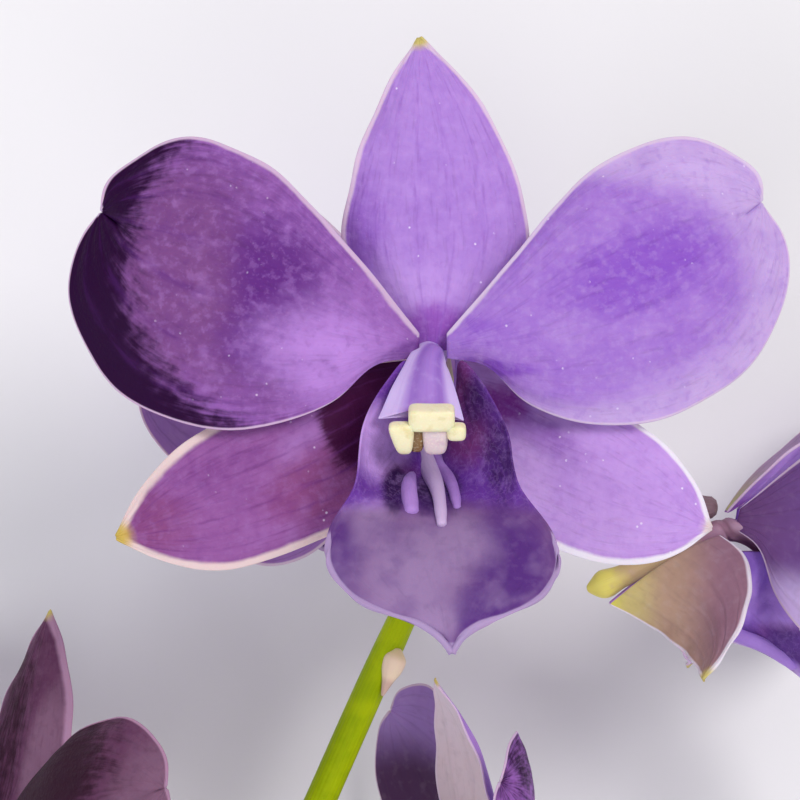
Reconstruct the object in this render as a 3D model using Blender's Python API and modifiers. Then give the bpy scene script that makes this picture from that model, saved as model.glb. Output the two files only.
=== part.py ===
"""A cut dendrobium orchid stem with five open blooms, lying on a surface.

World axes: the stalk runs along +Y from its cut end, the surface is Z = 0, and the front bloom
looks up along +Z. Every bloom has its own axes too: X to its right, Y towards its dorsal sepal
and Z out of its face, with the origin where its parts meet. All sizes here are millimetres, and
MM turns them into metres.
"""

import math
from dataclasses import dataclass

import bmesh
import bpy
import numpy as np
from mathutils import Matrix, Vector

MM = 0.001

# Driving sizes.
BLADE_THICKNESS = 0.7
LEAST_THICKNESS = 0.62
OVARY_RADIUS = 1.45
PEDICEL_RADIUS = 0.9
OVARY_TAPER = 1.4
OVARY_SHOULDER = 0.74
PEDICEL_RINGS = 13
PEDICEL_STAND = 1.8
KEEL_RADIUS = 0.6
CLEARANCE = 0.3
CURVE_STEPS = 12
A_BIT = 0.01
CLAW_X = 1.8
CUP_REACH = 30.0
TIP_CROWDING = 1.25

# Where the front bloom's parts meet.
FRONT_X = 7.23
FRONT_Y = 108.18
FRONT_HEIGHT = 52.0

# Each tepal is spanned by three smooth curves from its base to its tip: left margin, midrib and
# right margin, seen from the front of the bloom.
DORSAL_SEPAL = {
    "left": [(-2.1, 0.9, -1.5), (-5.0, 2.6, -2.0), (-8.1, 8.0, -2.3), (-7.3, 15.8, -1.4),
             (-3.6, 24.3, -0.2), (-1.3, 27.8, 0.4)],
    "middle": [(0.0, 0.68, -1.5), (0.1, 9.0, -0.4), (-0.2, 18.5, 0.4), (-1.3, 27.8, 0.4)],
    "right": [(2.1, 0.9, -1.5), (5.3, 2.8, -2.0), (8.7, 8.4, -2.3), (7.5, 15.8, -1.4),
              (2.5, 24.4, -0.2), (-1.3, 27.8, 0.4)],
}
PETAL_LEFT = {
    "left": [(-1.8, -0.7, 0.0), (-5.1, -1.7, 0.3), (-8.9, -5.1, 0.2), (-14.9, -7.3, -0.1),
             (-22.9, -7.1, -0.8), (-30.4, -2.2, -2.2), (-33.2, 5.5, -3.1), (-31.7, 10.7, -3.0),
             (-30.3, 12.2, -2.6)],
    "middle": [(-1.8, -0.1, 0.0), (-8.0, 2.2, 1.6), (-14.5, 4.8, 2.6), (-21.5, 7.4, 2.4),
               (-27.2, 10.0, 0.4), (-30.3, 12.2, -2.6)],
    "right": [(-1.8, 0.5, 0.0), (-8.2, 9.4, 0.7), (-15.4, 16.4, 0.3), (-21.0, 18.8, -0.4),
              (-26.7, 17.3, -1.4), (-29.7, 14.7, -2.2), (-30.3, 12.2, -2.6)],
}
PETAL_RIGHT = {
    "left": [(1.8, 0.5, 0.0), (7.2, 7.8, 0.7), (14.2, 15.6, 0.3), (20.6, 18.7, -0.4),
             (26.9, 17.6, -1.5), (29.7, 15.3, -2.2), (30.0, 13.1, -2.5)],
    "middle": [(1.8, -0.1, 0.0), (7.6, 2.0, 1.6), (13.8, 4.8, 2.6), (20.6, 7.4, 2.4),
               (26.8, 10.6, 0.4), (30.0, 13.1, -2.5)],
    "right": [(1.8, -0.7, 0.0), (4.7, -1.8, 0.3), (8.4, -5.2, 0.2), (13.0, -7.0, -0.1),
              (20.3, -6.8, -0.7), (27.9, -2.8, -2.1), (32.3, 4.8, -3.0), (31.8, 10.4, -3.0),
              (30.0, 13.1, -2.5)],
}
# The lateral sepals start along the column's foot, so that their bases form the chin.
LATERAL_SEPAL_LEFT = {
    "left": [(-1.3, -8.7, -13.6), (-0.7, -10.4, -10.6), (-0.8, -12.4, -7.0), (-3.2, -14.9, -4.2),
             (-10.0, -17.6, -2.6), (-19.0, -20.4, -1.9), (-25.6, -19.2, -1.3),
             (-28.8, -17.4, -0.9)],
    "middle": [(-1.9, -4.4, -7.8), (-4.6, -6.8, -5.2), (-8.2, -9.4, -3.0), (-15.0, -12.4, -1.5),
               (-22.0, -15.0, -1.0), (-28.8, -17.4, -0.9)],
    "right": [(-2.0, -1.2, -2.1), (-6.0, -1.7, -2.4), (-13.0, -4.2, -2.5), (-20.5, -7.5, -2.2),
              (-25.9, -12.0, -1.6), (-28.8, -17.4, -0.9)],
}
LATERAL_SEPAL_RIGHT = {
    "left": [(2.0, -1.2, -2.1), (6.0, -1.7, -2.4), (12.5, -4.2, -2.5), (18.8, -7.2, -2.2),
             (23.7, -12.2, -1.6), (25.4, -16.6, -0.9)],
    "middle": [(1.9, -4.4, -7.8), (4.6, -6.8, -5.2), (8.2, -9.4, -3.0), (14.0, -12.4, -1.5),
               (20.0, -15.0, -1.0), (25.4, -16.6, -0.9)],
    "right": [(1.3, -8.7, -13.6), (0.7, -10.4, -10.6), (0.8, -12.4, -7.0), (3.2, -14.9, -4.2),
              (9.5, -17.8, -2.6), (17.0, -20.0, -1.9), (23.0, -18.6, -1.4), (25.4, -16.6, -0.9)],
}
# A bloom that isn't fully open holds its lateral sepals forward, with less spread.
HALF_OPEN_SEPAL_LEFT = {
    "left": [(-1.3, -8.7, -13.6), (-0.7, -9.9, -11.2), (-1.2, -11.5, -8.4), (-4.0, -13.3, -6.2),
             (-8.0, -14.9, -5.0), (-12.0, -15.9, -4.6)],
    "middle": [(-1.9, -4.4, -7.8), (-4.6, -6.6, -5.0), (-7.6, -9.4, -2.6), (-10.4, -12.6, -2.6),
               (-12.0, -15.9, -4.6)],
    "right": [(-2.0, -1.5, -2.1), (-5.2, -3.4, 0.2), (-8.4, -6.4, 0.7), (-10.6, -9.8, -0.1),
              (-11.8, -13.2, -2.2), (-12.0, -15.9, -4.6)],
}

# The lip's floor runs out of the chin and forward to its apex. Its right margin, which the left
# one mirrors, rises round the column as a side lobe and spreads again as the middle lobe.
LIP_FLOOR = [(0.0, -8.0, -7.3), (0.0, -9.6, -4.4), (0.0, -12.0, -1.0), (0.0, -13.9, 3.0),
             (0.0, -16.6, 7.2), (0.0, -20.4, 10.6), (0.0, -24.2, 12.6), (0.0, -26.9, 13.0)]
LIP_MARGIN = [(1.2, -7.6, -7.2), (2.2, -6.2, -4.0), (2.7, -1.4, 1.5), (4.5, -3.7, 3.0),
              (6.4, -7.6, 4.4), (7.1, -12.4, 6.4), (9.6, -16.2, 8.2), (10.2, -18.9, 9.3),
              (8.5, -21.9, 10.8), (5.0, -23.7, 11.9), (2.2, -24.6, 12.4), (1.15, -25.3, 12.7),
              (0.0, -26.9, 13.0)]
# A narrow lip is drawn in over this stretch of Y, and its side lobes stand lower.
LIP_NARROWS_FROM = -1.2
LIP_NARROWS_OVER = 2.2
LIP_TOP = -1.2
LIP_TOP_DROP = 5.0
LIP_APEX_SWING = 0.09
LIP_APEX_SWING_FROM = -10.0
KEEL_OFFSETS = (-2.0, 0.0, 2.0)
MIDDLE_KEEL_SPAN = (0.17, 0.56)
SIDE_KEEL_SPAN = (0.24, 0.50)
KEEL_RISE = 0.55

# Column, from the round tip of its foot to the end that carries the anther cap: x, y, z, radius.
COLUMN = [(0.0, -7.1, -15.4, 0.6), (0.0, -6.9, -14.6, 1.3), (0.0, -5.9, -12.2, 1.2),
          (0.0, -4.1, -8.4, 1.0), (0.0, -2.2, -4.4, 1.1), (0.0, -1.0, -1.4, 1.35),
          (0.0, -1.6, 1.0, 1.55), (0.0, -3.4, 3.2, 1.8), (0.0, -5.2, 4.8, 1.8),
          (0.0, -6.1, 5.6, 1.3)]
COLUMN_HOOD_WIDENING = 0.45
ANTHER_CAP_SIZE = (4.4, 2.9, 1.9)
ANTHER_CAP_PLACE = (0.0, -7.3, 6.6)
ANTHER_CAP_TILT = 28.0
CAP_ROUNDING = 0.28
CAP_TEETH = (((1.6, 2.2, 1.1), (-2.5, -8.3, 6.1)), ((1.3, 1.7, 1.1), (2.2, -7.9, 6.3)))
HOOD_FROM = 0.5
HOOD_LENGTH = 3.0
OVARY_END = (0.0, 1.3, -2.8)

# Stem, from its cut end to its tip, measured from the front bloom: x, y, height, radius.
STEM = [(-56.0, -244.0, 1.99, 2.1), (-54.5, -215.0, 4.4, 2.0), (-50.5, -180.0, 8.0, 1.9),
        (-43.0, -142.0, 12.6, 1.8), (-31.2, -100.0, 18.2, 1.7), (-20.0, -66.0, 22.4, 1.6),
        (-10.8, -44.6, 24.0, 1.55), (-3.0, -27.2, 24.4, 1.4), (0.6, -19.6, 24.2, 1.1),
        (1.5, -17.4, 24.0, 0.5)]


# Nodes of the stem, as shares of its length: a low ring all round, with its own profile.
STEM_RINGS = 27
NODE_RINGS = (0.17, 0.41, 0.614, 0.81)
NODE_PROFILE = ((-0.006, 0.0), (-0.003, 0.25), (0.003, 0.25), (0.006, 0.0))
DROP_PROFILE = ((0.0, 0.35), (0.2, 0.85), (0.45, 1.0), (0.75, 0.6), (1.0, 0.12))
# Bracts and the drop-shaped scar, each a long drop half sunk in the stem's side: where it starts
# and how long it is, as shares of the stem, its half width, how far its tip stands off, its side.
BRACTS = ((0.945, -0.021, 1.15, 0.7, (0.8, -0.35, 0.5)),
          (0.398, 0.024, 1.0, 0.2, (0.9, -0.25, 0.35)),
          (0.608, 0.020, 0.9, 0.2, (-0.85, 0.25, 0.4)))


@dataclass(frozen=True)
class Bloom:
    """One bloom: its place, its turn and what sets it apart from the front bloom."""

    name: str
    centre: tuple
    turn: tuple
    scale: float
    detail: float
    node: float
    bends: tuple
    open_sepals: bool = True
    dorsal_lean: float = 0.0
    sepal_cup: float = 0.0
    lip_width: float = 1.0
    left_petal: tuple = (0.0, 0.0)
    right_petal: tuple = (0.0, 0.0)


# A centre is measured from the front bloom in X and Y and from the surface in Z. A turn is yaw,
# pitch and roll in degrees. Node is where the pedicel leaves the stem, as a share of its length,
# and bends are the pedicel's points behind the bloom, in the bloom's own axes. A petal's pair is
# its droop and its swing forward, in degrees.
BLOOMS = (
    Bloom("front", (0.0, 0.0, FRONT_HEIGHT), (0.0, 0.0, 0.0), 1.0, 1.0, 0.992,
          ((0.0, 1.7, -8.0), (0.3, 0.2, -13.5), (1.6, -6.0, -20.5), (1.6, -13.0, -24.3))),
    Bloom("right", (30.4, -16.8, 26.87), (88.0, 0.0, -2.0), 0.95, 0.75, 0.974,
          ((0.2, 1.3, -6.0), (0.8, 1.2, -11.0), (2.0, 0.6, -18.0), (3.4, -1.6, -24.0)),
          open_sepals=False, dorsal_lean=48.0, lip_width=0.6, left_petal=(20.0, 36.0),
          right_petal=(17.0, 37.0)),
    Bloom("left", (-44.8, -50.2, 26.13), (-50.0, -15.0, -4.0), 0.92, 0.75, 0.79,
          ((0.0, 1.8, -8.0), (3.0, 0.4, -13.5), (7.0, -5.0, -18.0)),
          dorsal_lean=-5.0, right_petal=(0.5, 4.8)),
    Bloom("lower", (6.0, -51.9, 26.0), (115.0, 0.0, 12.0), 0.75, 0.65, 0.835,
          ((0.0, 2.0, -7.0), (-1.5, 1.0, -13.0), (-1.0, -3.0, -17.0)),
          open_sepals=False, sepal_cup=-14.0, lip_width=0.9, left_petal=(-19.0, -24.0),
          right_petal=(-1.0, 0.0)),
    Bloom("back", (-7.4, -3.6, 21.0), (-158.0, 0.0, -20.0), 0.7, 0.6, 0.96,
          ((0.4, 2.2, -7.5), (1.6, 2.7, -11.7), (4.0, -1.6, -18.0), (6.0, -9.8, -19.5),
           (7.4, -17.8, -16.8))),
)

PETAL_COLOUR = (0.30, 0.13, 0.52)
SEPAL_COLOUR = (0.36, 0.18, 0.56)
LIP_COLOUR = (0.14, 0.05, 0.30)
COLUMN_COLOUR = (0.42, 0.26, 0.60)
CAP_COLOUR = (0.86, 0.80, 0.46)
PEDICEL_COLOUR = (0.42, 0.42, 0.22)
STEM_COLOUR = (0.33, 0.44, 0.03)


def clear_scene():
    """Remove every object that the file opened with."""
    for thing in list(bpy.data.objects):
        bpy.data.objects.remove(thing, do_unlink=True)


def make_material(name, colour, roughness):
    """Return a plain Principled material."""
    material = bpy.data.materials.new(name)
    material.use_nodes = True
    shader = material.node_tree.nodes["Principled BSDF"]
    shader.inputs["Base Color"].default_value = (*colour, 1.0)
    shader.inputs["Roughness"].default_value = roughness
    shader.inputs["Metallic"].default_value = 0.0
    return material


def along(points, fractions):
    """Return places at the given fractions of the length of a smooth curve through points."""
    knots = np.array(points, dtype=float)
    moves = np.diff(knots, axis=0)
    steps = np.linalg.norm(moves[:, :3], axis=1)[:, None]
    slopes = moves / steps
    tangents = np.vstack([slopes[:1], slopes[1:], slopes[-1:]])
    before, after = steps[:-1], steps[1:]
    tangents[1:-1] = (slopes[:-1] * after + slopes[1:] * before) / (before + after)
    fine = []
    for index, step in enumerate(steps[:, 0]):
        for t in np.linspace(0.0, 1.0, CURVE_STEPS, endpoint=False):
            start = (1 + 2 * t) * (1 - t) ** 2 * knots[index]
            end = t * t * (3 - 2 * t) * knots[index + 1]
            leaving = t * (1 - t) ** 2 * step * tangents[index]
            arriving = t * t * (t - 1) * step * tangents[index + 1]
            fine.append(start + end + leaving + arriving)
    fine.append(knots[-1])
    fine = np.array(fine)
    lengths = np.linalg.norm(np.diff(fine[:, :3], axis=0), axis=1)
    reached = np.concatenate([[0.0], np.cumsum(lengths)])
    wanted = np.array(fractions) * reached[-1]
    return np.column_stack([np.interp(wanted, reached, column) for column in fine.T])


def link(name, mesh, collection, material=None):
    """Return a new object for the mesh, in the collection."""
    thing = bpy.data.objects.new(name, mesh)
    collection.objects.link(thing)
    if material:
        mesh.materials.append(material)
    return thing


def solid_sheet(name, surface, rows, columns, thickness, collection, material):
    """Return a thin solid: a grid laid on surface(row, across), triangulated and thickened."""
    sheet = bmesh.new()
    bmesh.ops.create_grid(sheet, x_segments=rows, y_segments=columns, size=0.5)
    for vert in sheet.verts:
        row = round((vert.co.x + 0.5) * rows)
        vert.co = Vector(surface(row, 2.0 * vert.co.y)) * MM
    bmesh.ops.remove_doubles(sheet, verts=sheet.verts, dist=0.01 * MM)
    mesh = bpy.data.meshes.new(name)
    sheet.to_mesh(mesh)
    sheet.free()
    thing = link(name, mesh, collection, material)
    thing.modifiers.new("Triangulate", "TRIANGULATE")
    solidify = thing.modifiers.new("Solidify", "SOLIDIFY")
    solidify.thickness = thickness * MM
    solidify.offset = 0.0
    return thing


def bent(point, side, droop, swing, cup):
    """Return a tepal's point, drooped and swung forward about its claw, and cupped."""
    x, y, z = point
    if side:
        low, ahead = math.radians(droop), math.radians(swing)
        out = side * x - CLAW_X
        out, y = out * math.cos(low) + y * math.sin(low), y * math.cos(low) - out * math.sin(low)
        out, z = out * math.cos(ahead) - z * math.sin(ahead), z * math.cos(ahead) + out * math.sin(ahead)
        x = side * (CLAW_X + out)
    else:
        ahead = math.radians(swing)
        y, z = y * math.cos(ahead) - z * math.sin(ahead), z * math.cos(ahead) + y * math.sin(ahead)
    return (x, y, z + cup * (math.hypot(x, y) / CUP_REACH) ** 2)


def mirrored(outline):
    """Return a left outline's right-hand twin."""
    twin = {}
    for key, other in (("left", "right"), ("middle", "middle"), ("right", "left")):
        twin[key] = [(-x, y, z) for x, y, z in outline[other]]
    return twin


def tepal(name, outline, bend, bloom, rows, columns, collection, material):
    """Return one sepal or petal: a sheet spanned by its margins and its midrib."""
    fractions = 1.0 - np.linspace(1.0, 0.0, rows + 1) ** TIP_CROWDING
    curves = {}
    for key, points in outline.items():
        curves[key] = along([bent(point, *bend) for point in points], fractions)

    def surface(row, across):
        left, middle, right = (curves[key][row] for key in ("left", "middle", "right"))
        return middle + across * (right - left) / 2 + across ** 2 * ((left + right) / 2 - middle)

    thickness = max(BLADE_THICKNESS, LEAST_THICKNESS / bloom.scale)
    return solid_sheet(name, surface, rows, columns, thickness, collection, material)


class Lip:
    """The lip's sheet, by place along its floor and place across it."""

    def __init__(self, rows, width):
        """Lay the floor and the margin out in rows, the margin drawn in where the lip is narrow."""
        fractions = 1.0 - np.linspace(1.0, 0.0, rows + 1) ** TIP_CROWDING
        self.floor = along(LIP_FLOOR, fractions)
        self.margin = along(LIP_MARGIN, fractions)
        ahead = np.clip((LIP_NARROWS_FROM - self.margin[:, 1]) / LIP_NARROWS_OVER, 0.0, 1.0)
        self.margin[:, 0] *= 1.0 - (1.0 - width) * ahead
        self.margin[:, 1] = np.minimum(self.margin[:, 1], LIP_TOP - LIP_TOP_DROP * (1.0 - width))

    def point(self, row, across):
        """Return the sheet's point: across is -1 at the left margin and 1 at the right."""
        floor = self.floor[row]
        side = math.copysign(1.0, across)
        edge = self.margin[row] * np.array([side, 1.0, 1.0])
        corner = np.array([edge[0], floor[1], floor[2]])
        t = abs(across)
        x, y, z = (1 - t) ** 2 * floor + 2 * t * (1 - t) * corner + t * t * edge
        return (x + LIP_APEX_SWING * max(0.0, LIP_APEX_SWING_FROM - y), y, z)

    def keel(self, offset, spots):
        """Return the points of one keel, which stands on the lip's floor."""
        first, last = MIDDLE_KEEL_SPAN if offset == 0.0 else SIDE_KEEL_SPAN
        line = []
        for fraction in np.linspace(first, last, spots):
            place = along(LIP_FLOOR, [fraction])[0]
            ahead = along(LIP_FLOOR, [fraction + A_BIT])[0]
            forward = Vector(ahead - place).normalized()
            up = Vector((0.0, forward.z, -forward.y))
            line.append(Vector(place) + Vector((offset, 0.0, 0.0)) + up * KEEL_RISE)
        return line


def tube(name, points, radii, sides, collection, material=None):
    """Return a capped round tube through the points, as a mesh."""
    curve = bpy.data.curves.new(name, "CURVE")
    curve.dimensions = "3D"
    curve.bevel_depth = 1.0
    curve.bevel_resolution = (sides - 4) // 2
    curve.use_fill_caps = True
    spline = curve.splines.new("POLY")
    spline.points.add(len(points) - 1)
    for spot, place, radius in zip(spline.points, points, radii):
        spot.co = (place[0] * MM, place[1] * MM, place[2] * MM, 1.0)
        spot.radius = radius * MM
    guide = bpy.data.objects.new(name + "_path", curve)
    collection.objects.link(guide)
    graph = bpy.context.evaluated_depsgraph_get()
    mesh = bpy.data.meshes.new_from_object(guide.evaluated_get(graph))
    bpy.data.objects.remove(guide, do_unlink=True)
    bpy.data.curves.remove(curve)
    welded = bmesh.new()
    welded.from_mesh(mesh)
    bmesh.ops.remove_doubles(welded, verts=welded.verts, dist=0.001 * MM)
    bmesh.ops.triangulate(welded, faces=welded.faces)
    welded.to_mesh(mesh)
    welded.free()
    mesh.shade_smooth()
    return link(name, mesh, collection, material)


def join(thing, extras, solver="EXACT"):
    """Grow the extra solids onto the thing with one Boolean union, and remove them."""
    group = bpy.data.collections.new(thing.name + "_extras")
    bpy.context.scene.collection.children.link(group)
    for extra in extras:
        for holder in list(extra.users_collection):
            holder.objects.unlink(extra)
        group.objects.link(extra)
    union = thing.modifiers.new("Union", "BOOLEAN")
    union.operation = "UNION"
    union.operand_type = "COLLECTION"
    union.collection = group
    union.solver = solver
    graph = bpy.context.evaluated_depsgraph_get()
    mesh = bpy.data.meshes.new_from_object(thing.evaluated_get(graph))
    thing.modifiers.clear()
    thing.data = mesh
    for extra in extras:
        bpy.data.objects.remove(extra, do_unlink=True)
    bpy.data.collections.remove(group)


def block(name, size, place, rounding, collection, material=None):
    """Return a block with its edges rounded in so many steps, tilted like the anther cap."""
    shape = bmesh.new()
    bmesh.ops.create_cube(shape, size=1.0)
    bmesh.ops.scale(shape, vec=Vector(size) * MM, verts=shape.verts)
    bmesh.ops.bevel(shape, geom=shape.edges[:], offset=CAP_ROUNDING * min(size) * MM, segments=rounding,
                    profile=0.6, affect="EDGES")
    turn = Matrix.Rotation(math.radians(ANTHER_CAP_TILT), 4, "X")
    spot = Matrix.Translation(Vector(place) * MM)
    bmesh.ops.transform(shape, matrix=spot @ turn, verts=shape.verts)
    mesh = bpy.data.meshes.new(name)
    shape.to_mesh(mesh)
    shape.free()
    return link(name, mesh, collection, material)


def build_lip(name, bloom, collection, material):
    """Return the lip with its three keels."""
    rows = round(17 * bloom.detail)
    columns = 2 * round(5 * bloom.detail)
    lip = Lip(rows, bloom.lip_width)
    thickness = max(BLADE_THICKNESS, LEAST_THICKNESS / bloom.scale)
    thing = solid_sheet(name, lip.point, rows, columns, thickness, collection, material)
    keels = []
    spots, sides = (5, 6) if bloom.detail == 1.0 else (4, 4)
    radii = KEEL_RADIUS * np.sin(math.pi * np.linspace(0.18, 0.88, spots))
    for offset in KEEL_OFFSETS:
        line = lip.keel(offset, spots)
        keels.append(tube(f"{name}_keel", line, radii, sides, collection))
    join(thing, keels)
    return thing


def build_column(name, bloom, collection, material):
    """Return the column with its foot, widened into a hood towards its end."""
    line = along(COLUMN, np.linspace(0.0, 1.0, round(18 * bloom.detail)))
    sides = 10 if bloom.detail == 1.0 else 8
    thing = tube(name, line[:, :3], line[:, 3], sides, collection, material)
    for vert in thing.data.vertices:
        forward = min(max((vert.co.z / MM - HOOD_FROM) / HOOD_LENGTH, 0.0), 1.0)
        vert.co.x *= 1.0 + COLUMN_HOOD_WIDENING * forward
    return thing


def build_cap(name, rounding, collection, material):
    """Return the anther cap with the tooth on either side of it."""
    cap = block(name, ANTHER_CAP_SIZE, ANTHER_CAP_PLACE, rounding, collection, material)
    teeth = []
    for size, place in CAP_TEETH:
        teeth.append(block(f"{name}_tooth", size, place, 1, collection))
    join(cap, teeth)
    return cap


def build_bloom(bloom, stem_line, collection, materials):
    """Return a bloom's objects, hung on an empty at its centre."""
    axes = bpy.data.objects.new(f"{bloom.name}_bloom", None)
    collection.objects.link(axes)
    axes.location = place_of(bloom.centre) * MM
    turn = Matrix.Identity(3)
    for degrees, axis in zip(bloom.turn, "YXZ"):
        turn = turn @ Matrix.Rotation(math.radians(degrees), 3, axis)
    axes.rotation_euler = turn.to_euler()
    axes.scale = (bloom.scale,) * 3

    def grid(rows, columns):
        return round(rows * bloom.detail), 2 * round(columns * bloom.detail / 2)

    still = (0, 0.0, 0.0, 0.0)
    lateral_left, lateral_right = LATERAL_SEPAL_LEFT, LATERAL_SEPAL_RIGHT
    if not bloom.open_sepals:
        lateral_left, lateral_right = HALF_OPEN_SEPAL_LEFT, mirrored(HALF_OPEN_SEPAL_LEFT)
    shapes = (
        ("dorsal_sepal", DORSAL_SEPAL, (0, 0.0, bloom.dorsal_lean, bloom.sepal_cup), (9, 6), "sepal"),
        ("lateral_sepal_left", lateral_left, still, (12, 6), "sepal"),
        ("lateral_sepal_right", lateral_right, still, (12, 6), "sepal"),
        ("petal_left", PETAL_LEFT, (-1, *bloom.left_petal, 0.0), (13, 8), "petal"),
        ("petal_right", PETAL_RIGHT, (1, *bloom.right_petal, 0.0), (13, 8), "petal"),
    )
    pieces = []
    for part, outline, bend, size, colour in shapes:
        name = f"{bloom.name}_{part}"
        pieces.append(tepal(name, outline, bend, bloom, *grid(*size), collection, materials[colour]))
    pieces += [
        build_lip(f"{bloom.name}_lip", bloom, collection, materials["lip"]),
        build_column(f"{bloom.name}_column", bloom, collection, materials["column"]),
        build_cap(f"{bloom.name}_anther_cap", 2 if bloom.detail == 1.0 else 1, collection,
                  materials["cap"]),
    ]
    for piece in pieces:
        piece.parent = axes
    matrix = Matrix.Translation(axes.location) @ turn.to_4x4() @ Matrix.Scale(bloom.scale, 4)
    build_pedicel(bloom, matrix, stem_line, collection, materials["pedicel"])


def place_of(point):
    """Return a point measured from the front bloom as a world point, in millimetres."""
    return Vector((point[0] + FRONT_X, point[1] + FRONT_Y, point[2]))


def build_pedicel(bloom, matrix, stem_line, collection, material):
    """Return the pedicel, from the back of the bloom to a square stand on the stem's side."""
    knots = [OVARY_END, *bloom.bends]
    line = [matrix @ (Vector(knot) * MM) / MM for knot in knots]
    foot = along(stem_line, [bloom.node])[0]
    beyond = along(stem_line, [bloom.node + A_BIT / 2])[0]
    forward = Vector(beyond[:3] - foot[:3]).normalized()
    outward = line[-1] - Vector(foot[:3])
    outward = (outward - forward * outward.dot(forward)).normalized()
    for stand in (PEDICEL_STAND, 0.0):
        line.append(Vector(foot[:3]) + outward * (foot[3] + CLEARANCE + stand))
    path = along([tuple(point) for point in line], np.linspace(0.0, 1.0, PEDICEL_RINGS))
    radii = []
    for share in np.linspace(0.0, 1.0, PEDICEL_RINGS):
        ovary = OVARY_RADIUS * (1.0 - OVARY_TAPER * share ** 2)
        radii.append(max(PEDICEL_RADIUS, ovary) * bloom.scale)
    radii[0] *= OVARY_SHOULDER
    return tube(f"{bloom.name}_pedicel", path, radii, 8, collection, material)


def build_stem(stem_line, collection, material):
    """Return the stalk with a raised ring at each node, its bracts and a pale scar."""
    places = list(np.linspace(0.0, 1.0, STEM_RINGS))
    rises = [0.0] * STEM_RINGS
    for node in NODE_RINGS:
        for shift, rise in NODE_PROFILE:
            places.append(node + shift)
            rises.append(rise)
    order = np.argsort(places)
    path = along(stem_line, np.array(places)[order])
    radii = path[:, 3] + np.array(rises)[order]
    stalk = tube("stem", path[:, :3], radii, 10, collection, material)
    extras = []
    for spot, length, width, rise, side in BRACTS:
        foot = along(stem_line, [spot])[0]
        tip = along(stem_line, [spot + length])[0]
        forward = Vector(tip[:3] - foot[:3])
        away = Vector(side).normalized()
        line, girths = [], []
        for share, girth in DROP_PROFILE:
            line.append(Vector(foot[:3]) + forward * share + away * (foot[3] + rise * share))
            girths.append(width * girth)
        extras.append(tube("bract", line, girths, 8, collection))
    join(stalk, extras)
    return stalk


def main():
    """Build the whole cut stem."""
    clear_scene()
    parts = bpy.data.collections.new("dendrobium_orchid_stem")
    bpy.context.scene.collection.children.link(parts)
    materials = {
        "petal": make_material("petal", PETAL_COLOUR, 0.55),
        "sepal": make_material("sepal", SEPAL_COLOUR, 0.55),
        "lip": make_material("lip", LIP_COLOUR, 0.5),
        "column": make_material("column", COLUMN_COLOUR, 0.45),
        "cap": make_material("anther_cap", CAP_COLOUR, 0.4),
        "pedicel": make_material("pedicel", PEDICEL_COLOUR, 0.45),
        "stem": make_material("stem", STEM_COLOUR, 0.4),
    }
    stem_line = [(*place_of(point), point[3]) for point in STEM]
    build_stem(stem_line, parts, materials["stem"])
    for bloom in BLOOMS:
        build_bloom(bloom, stem_line, parts, materials)


main()
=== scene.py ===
"""The looks of a cut dendrobium orchid stem with five open blooms, seen from straight above.

Every petal, sepal, lip, column, anther cap and pedicel and the stalk is laid finely on the curves
that its solid was made from. Sizes are millimetres unless a name says otherwise, and MM turns
them into metres. Each bloom has its own axes: X to its right, Y towards its dorsal sepal and Z
out of its face, with the origin where its parts meet.
"""

import logging
import math
from dataclasses import dataclass, field
from enum import Enum
from typing import Callable, Sequence

import bpy
import numpy as np
from mathutils import Matrix, Vector, noise


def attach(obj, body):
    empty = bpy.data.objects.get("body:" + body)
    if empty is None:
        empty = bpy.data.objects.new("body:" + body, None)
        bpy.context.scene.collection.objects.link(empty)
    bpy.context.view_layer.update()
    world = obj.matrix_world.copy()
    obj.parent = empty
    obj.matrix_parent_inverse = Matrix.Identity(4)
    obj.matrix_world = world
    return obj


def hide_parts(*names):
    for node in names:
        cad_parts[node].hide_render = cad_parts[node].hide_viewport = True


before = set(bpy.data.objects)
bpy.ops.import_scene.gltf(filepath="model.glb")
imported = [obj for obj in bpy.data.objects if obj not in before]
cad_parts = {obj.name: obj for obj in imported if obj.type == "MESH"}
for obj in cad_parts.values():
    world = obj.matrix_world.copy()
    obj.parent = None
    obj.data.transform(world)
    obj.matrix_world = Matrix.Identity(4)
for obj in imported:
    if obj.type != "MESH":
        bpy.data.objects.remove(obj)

LOG = logging.getLogger("orchid_stem")
MM = 0.001
BODY = "root"

Point = tuple[float, ...]
Colour = tuple[float, float, float]

CURVE_STEPS = 24
CLAW_X = 1.8
CUP_REACH = 30.0
TIP_CROWDING = 1.25
TIP_SHARE = 0.997
TIP_TINT = 0.95
LEAST_CELLS = 8
GRID_KEYS = ("row", "column")
FLAT_CAP = (0.15, 0.6, 1.0)
DOMED_CAP = (0.55, 0.85, 1.0)
DOME_HEIGHT = 0.6
TONE_FRAY = 0.4
SHADE_FRAY = 1.0
SKIN_DEPTH = 1.0
FRONT_PLACE = np.array([7.23, 108.18, 0.0])


def dye(red: int, green: int, blue: int) -> Colour:
    """Return a colour as the eye reads it, in steps of 0 to 255, as linear light.

    Args:
        red: The red step.
        green: The green step.
        blue: The blue step.

    Returns:
        The three linear values.
    """
    return tuple(((step / 255 + 0.055) / 1.055) ** 2.4 if step > 10 else step / 3294
                 for step in (red, green, blue))


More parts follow.
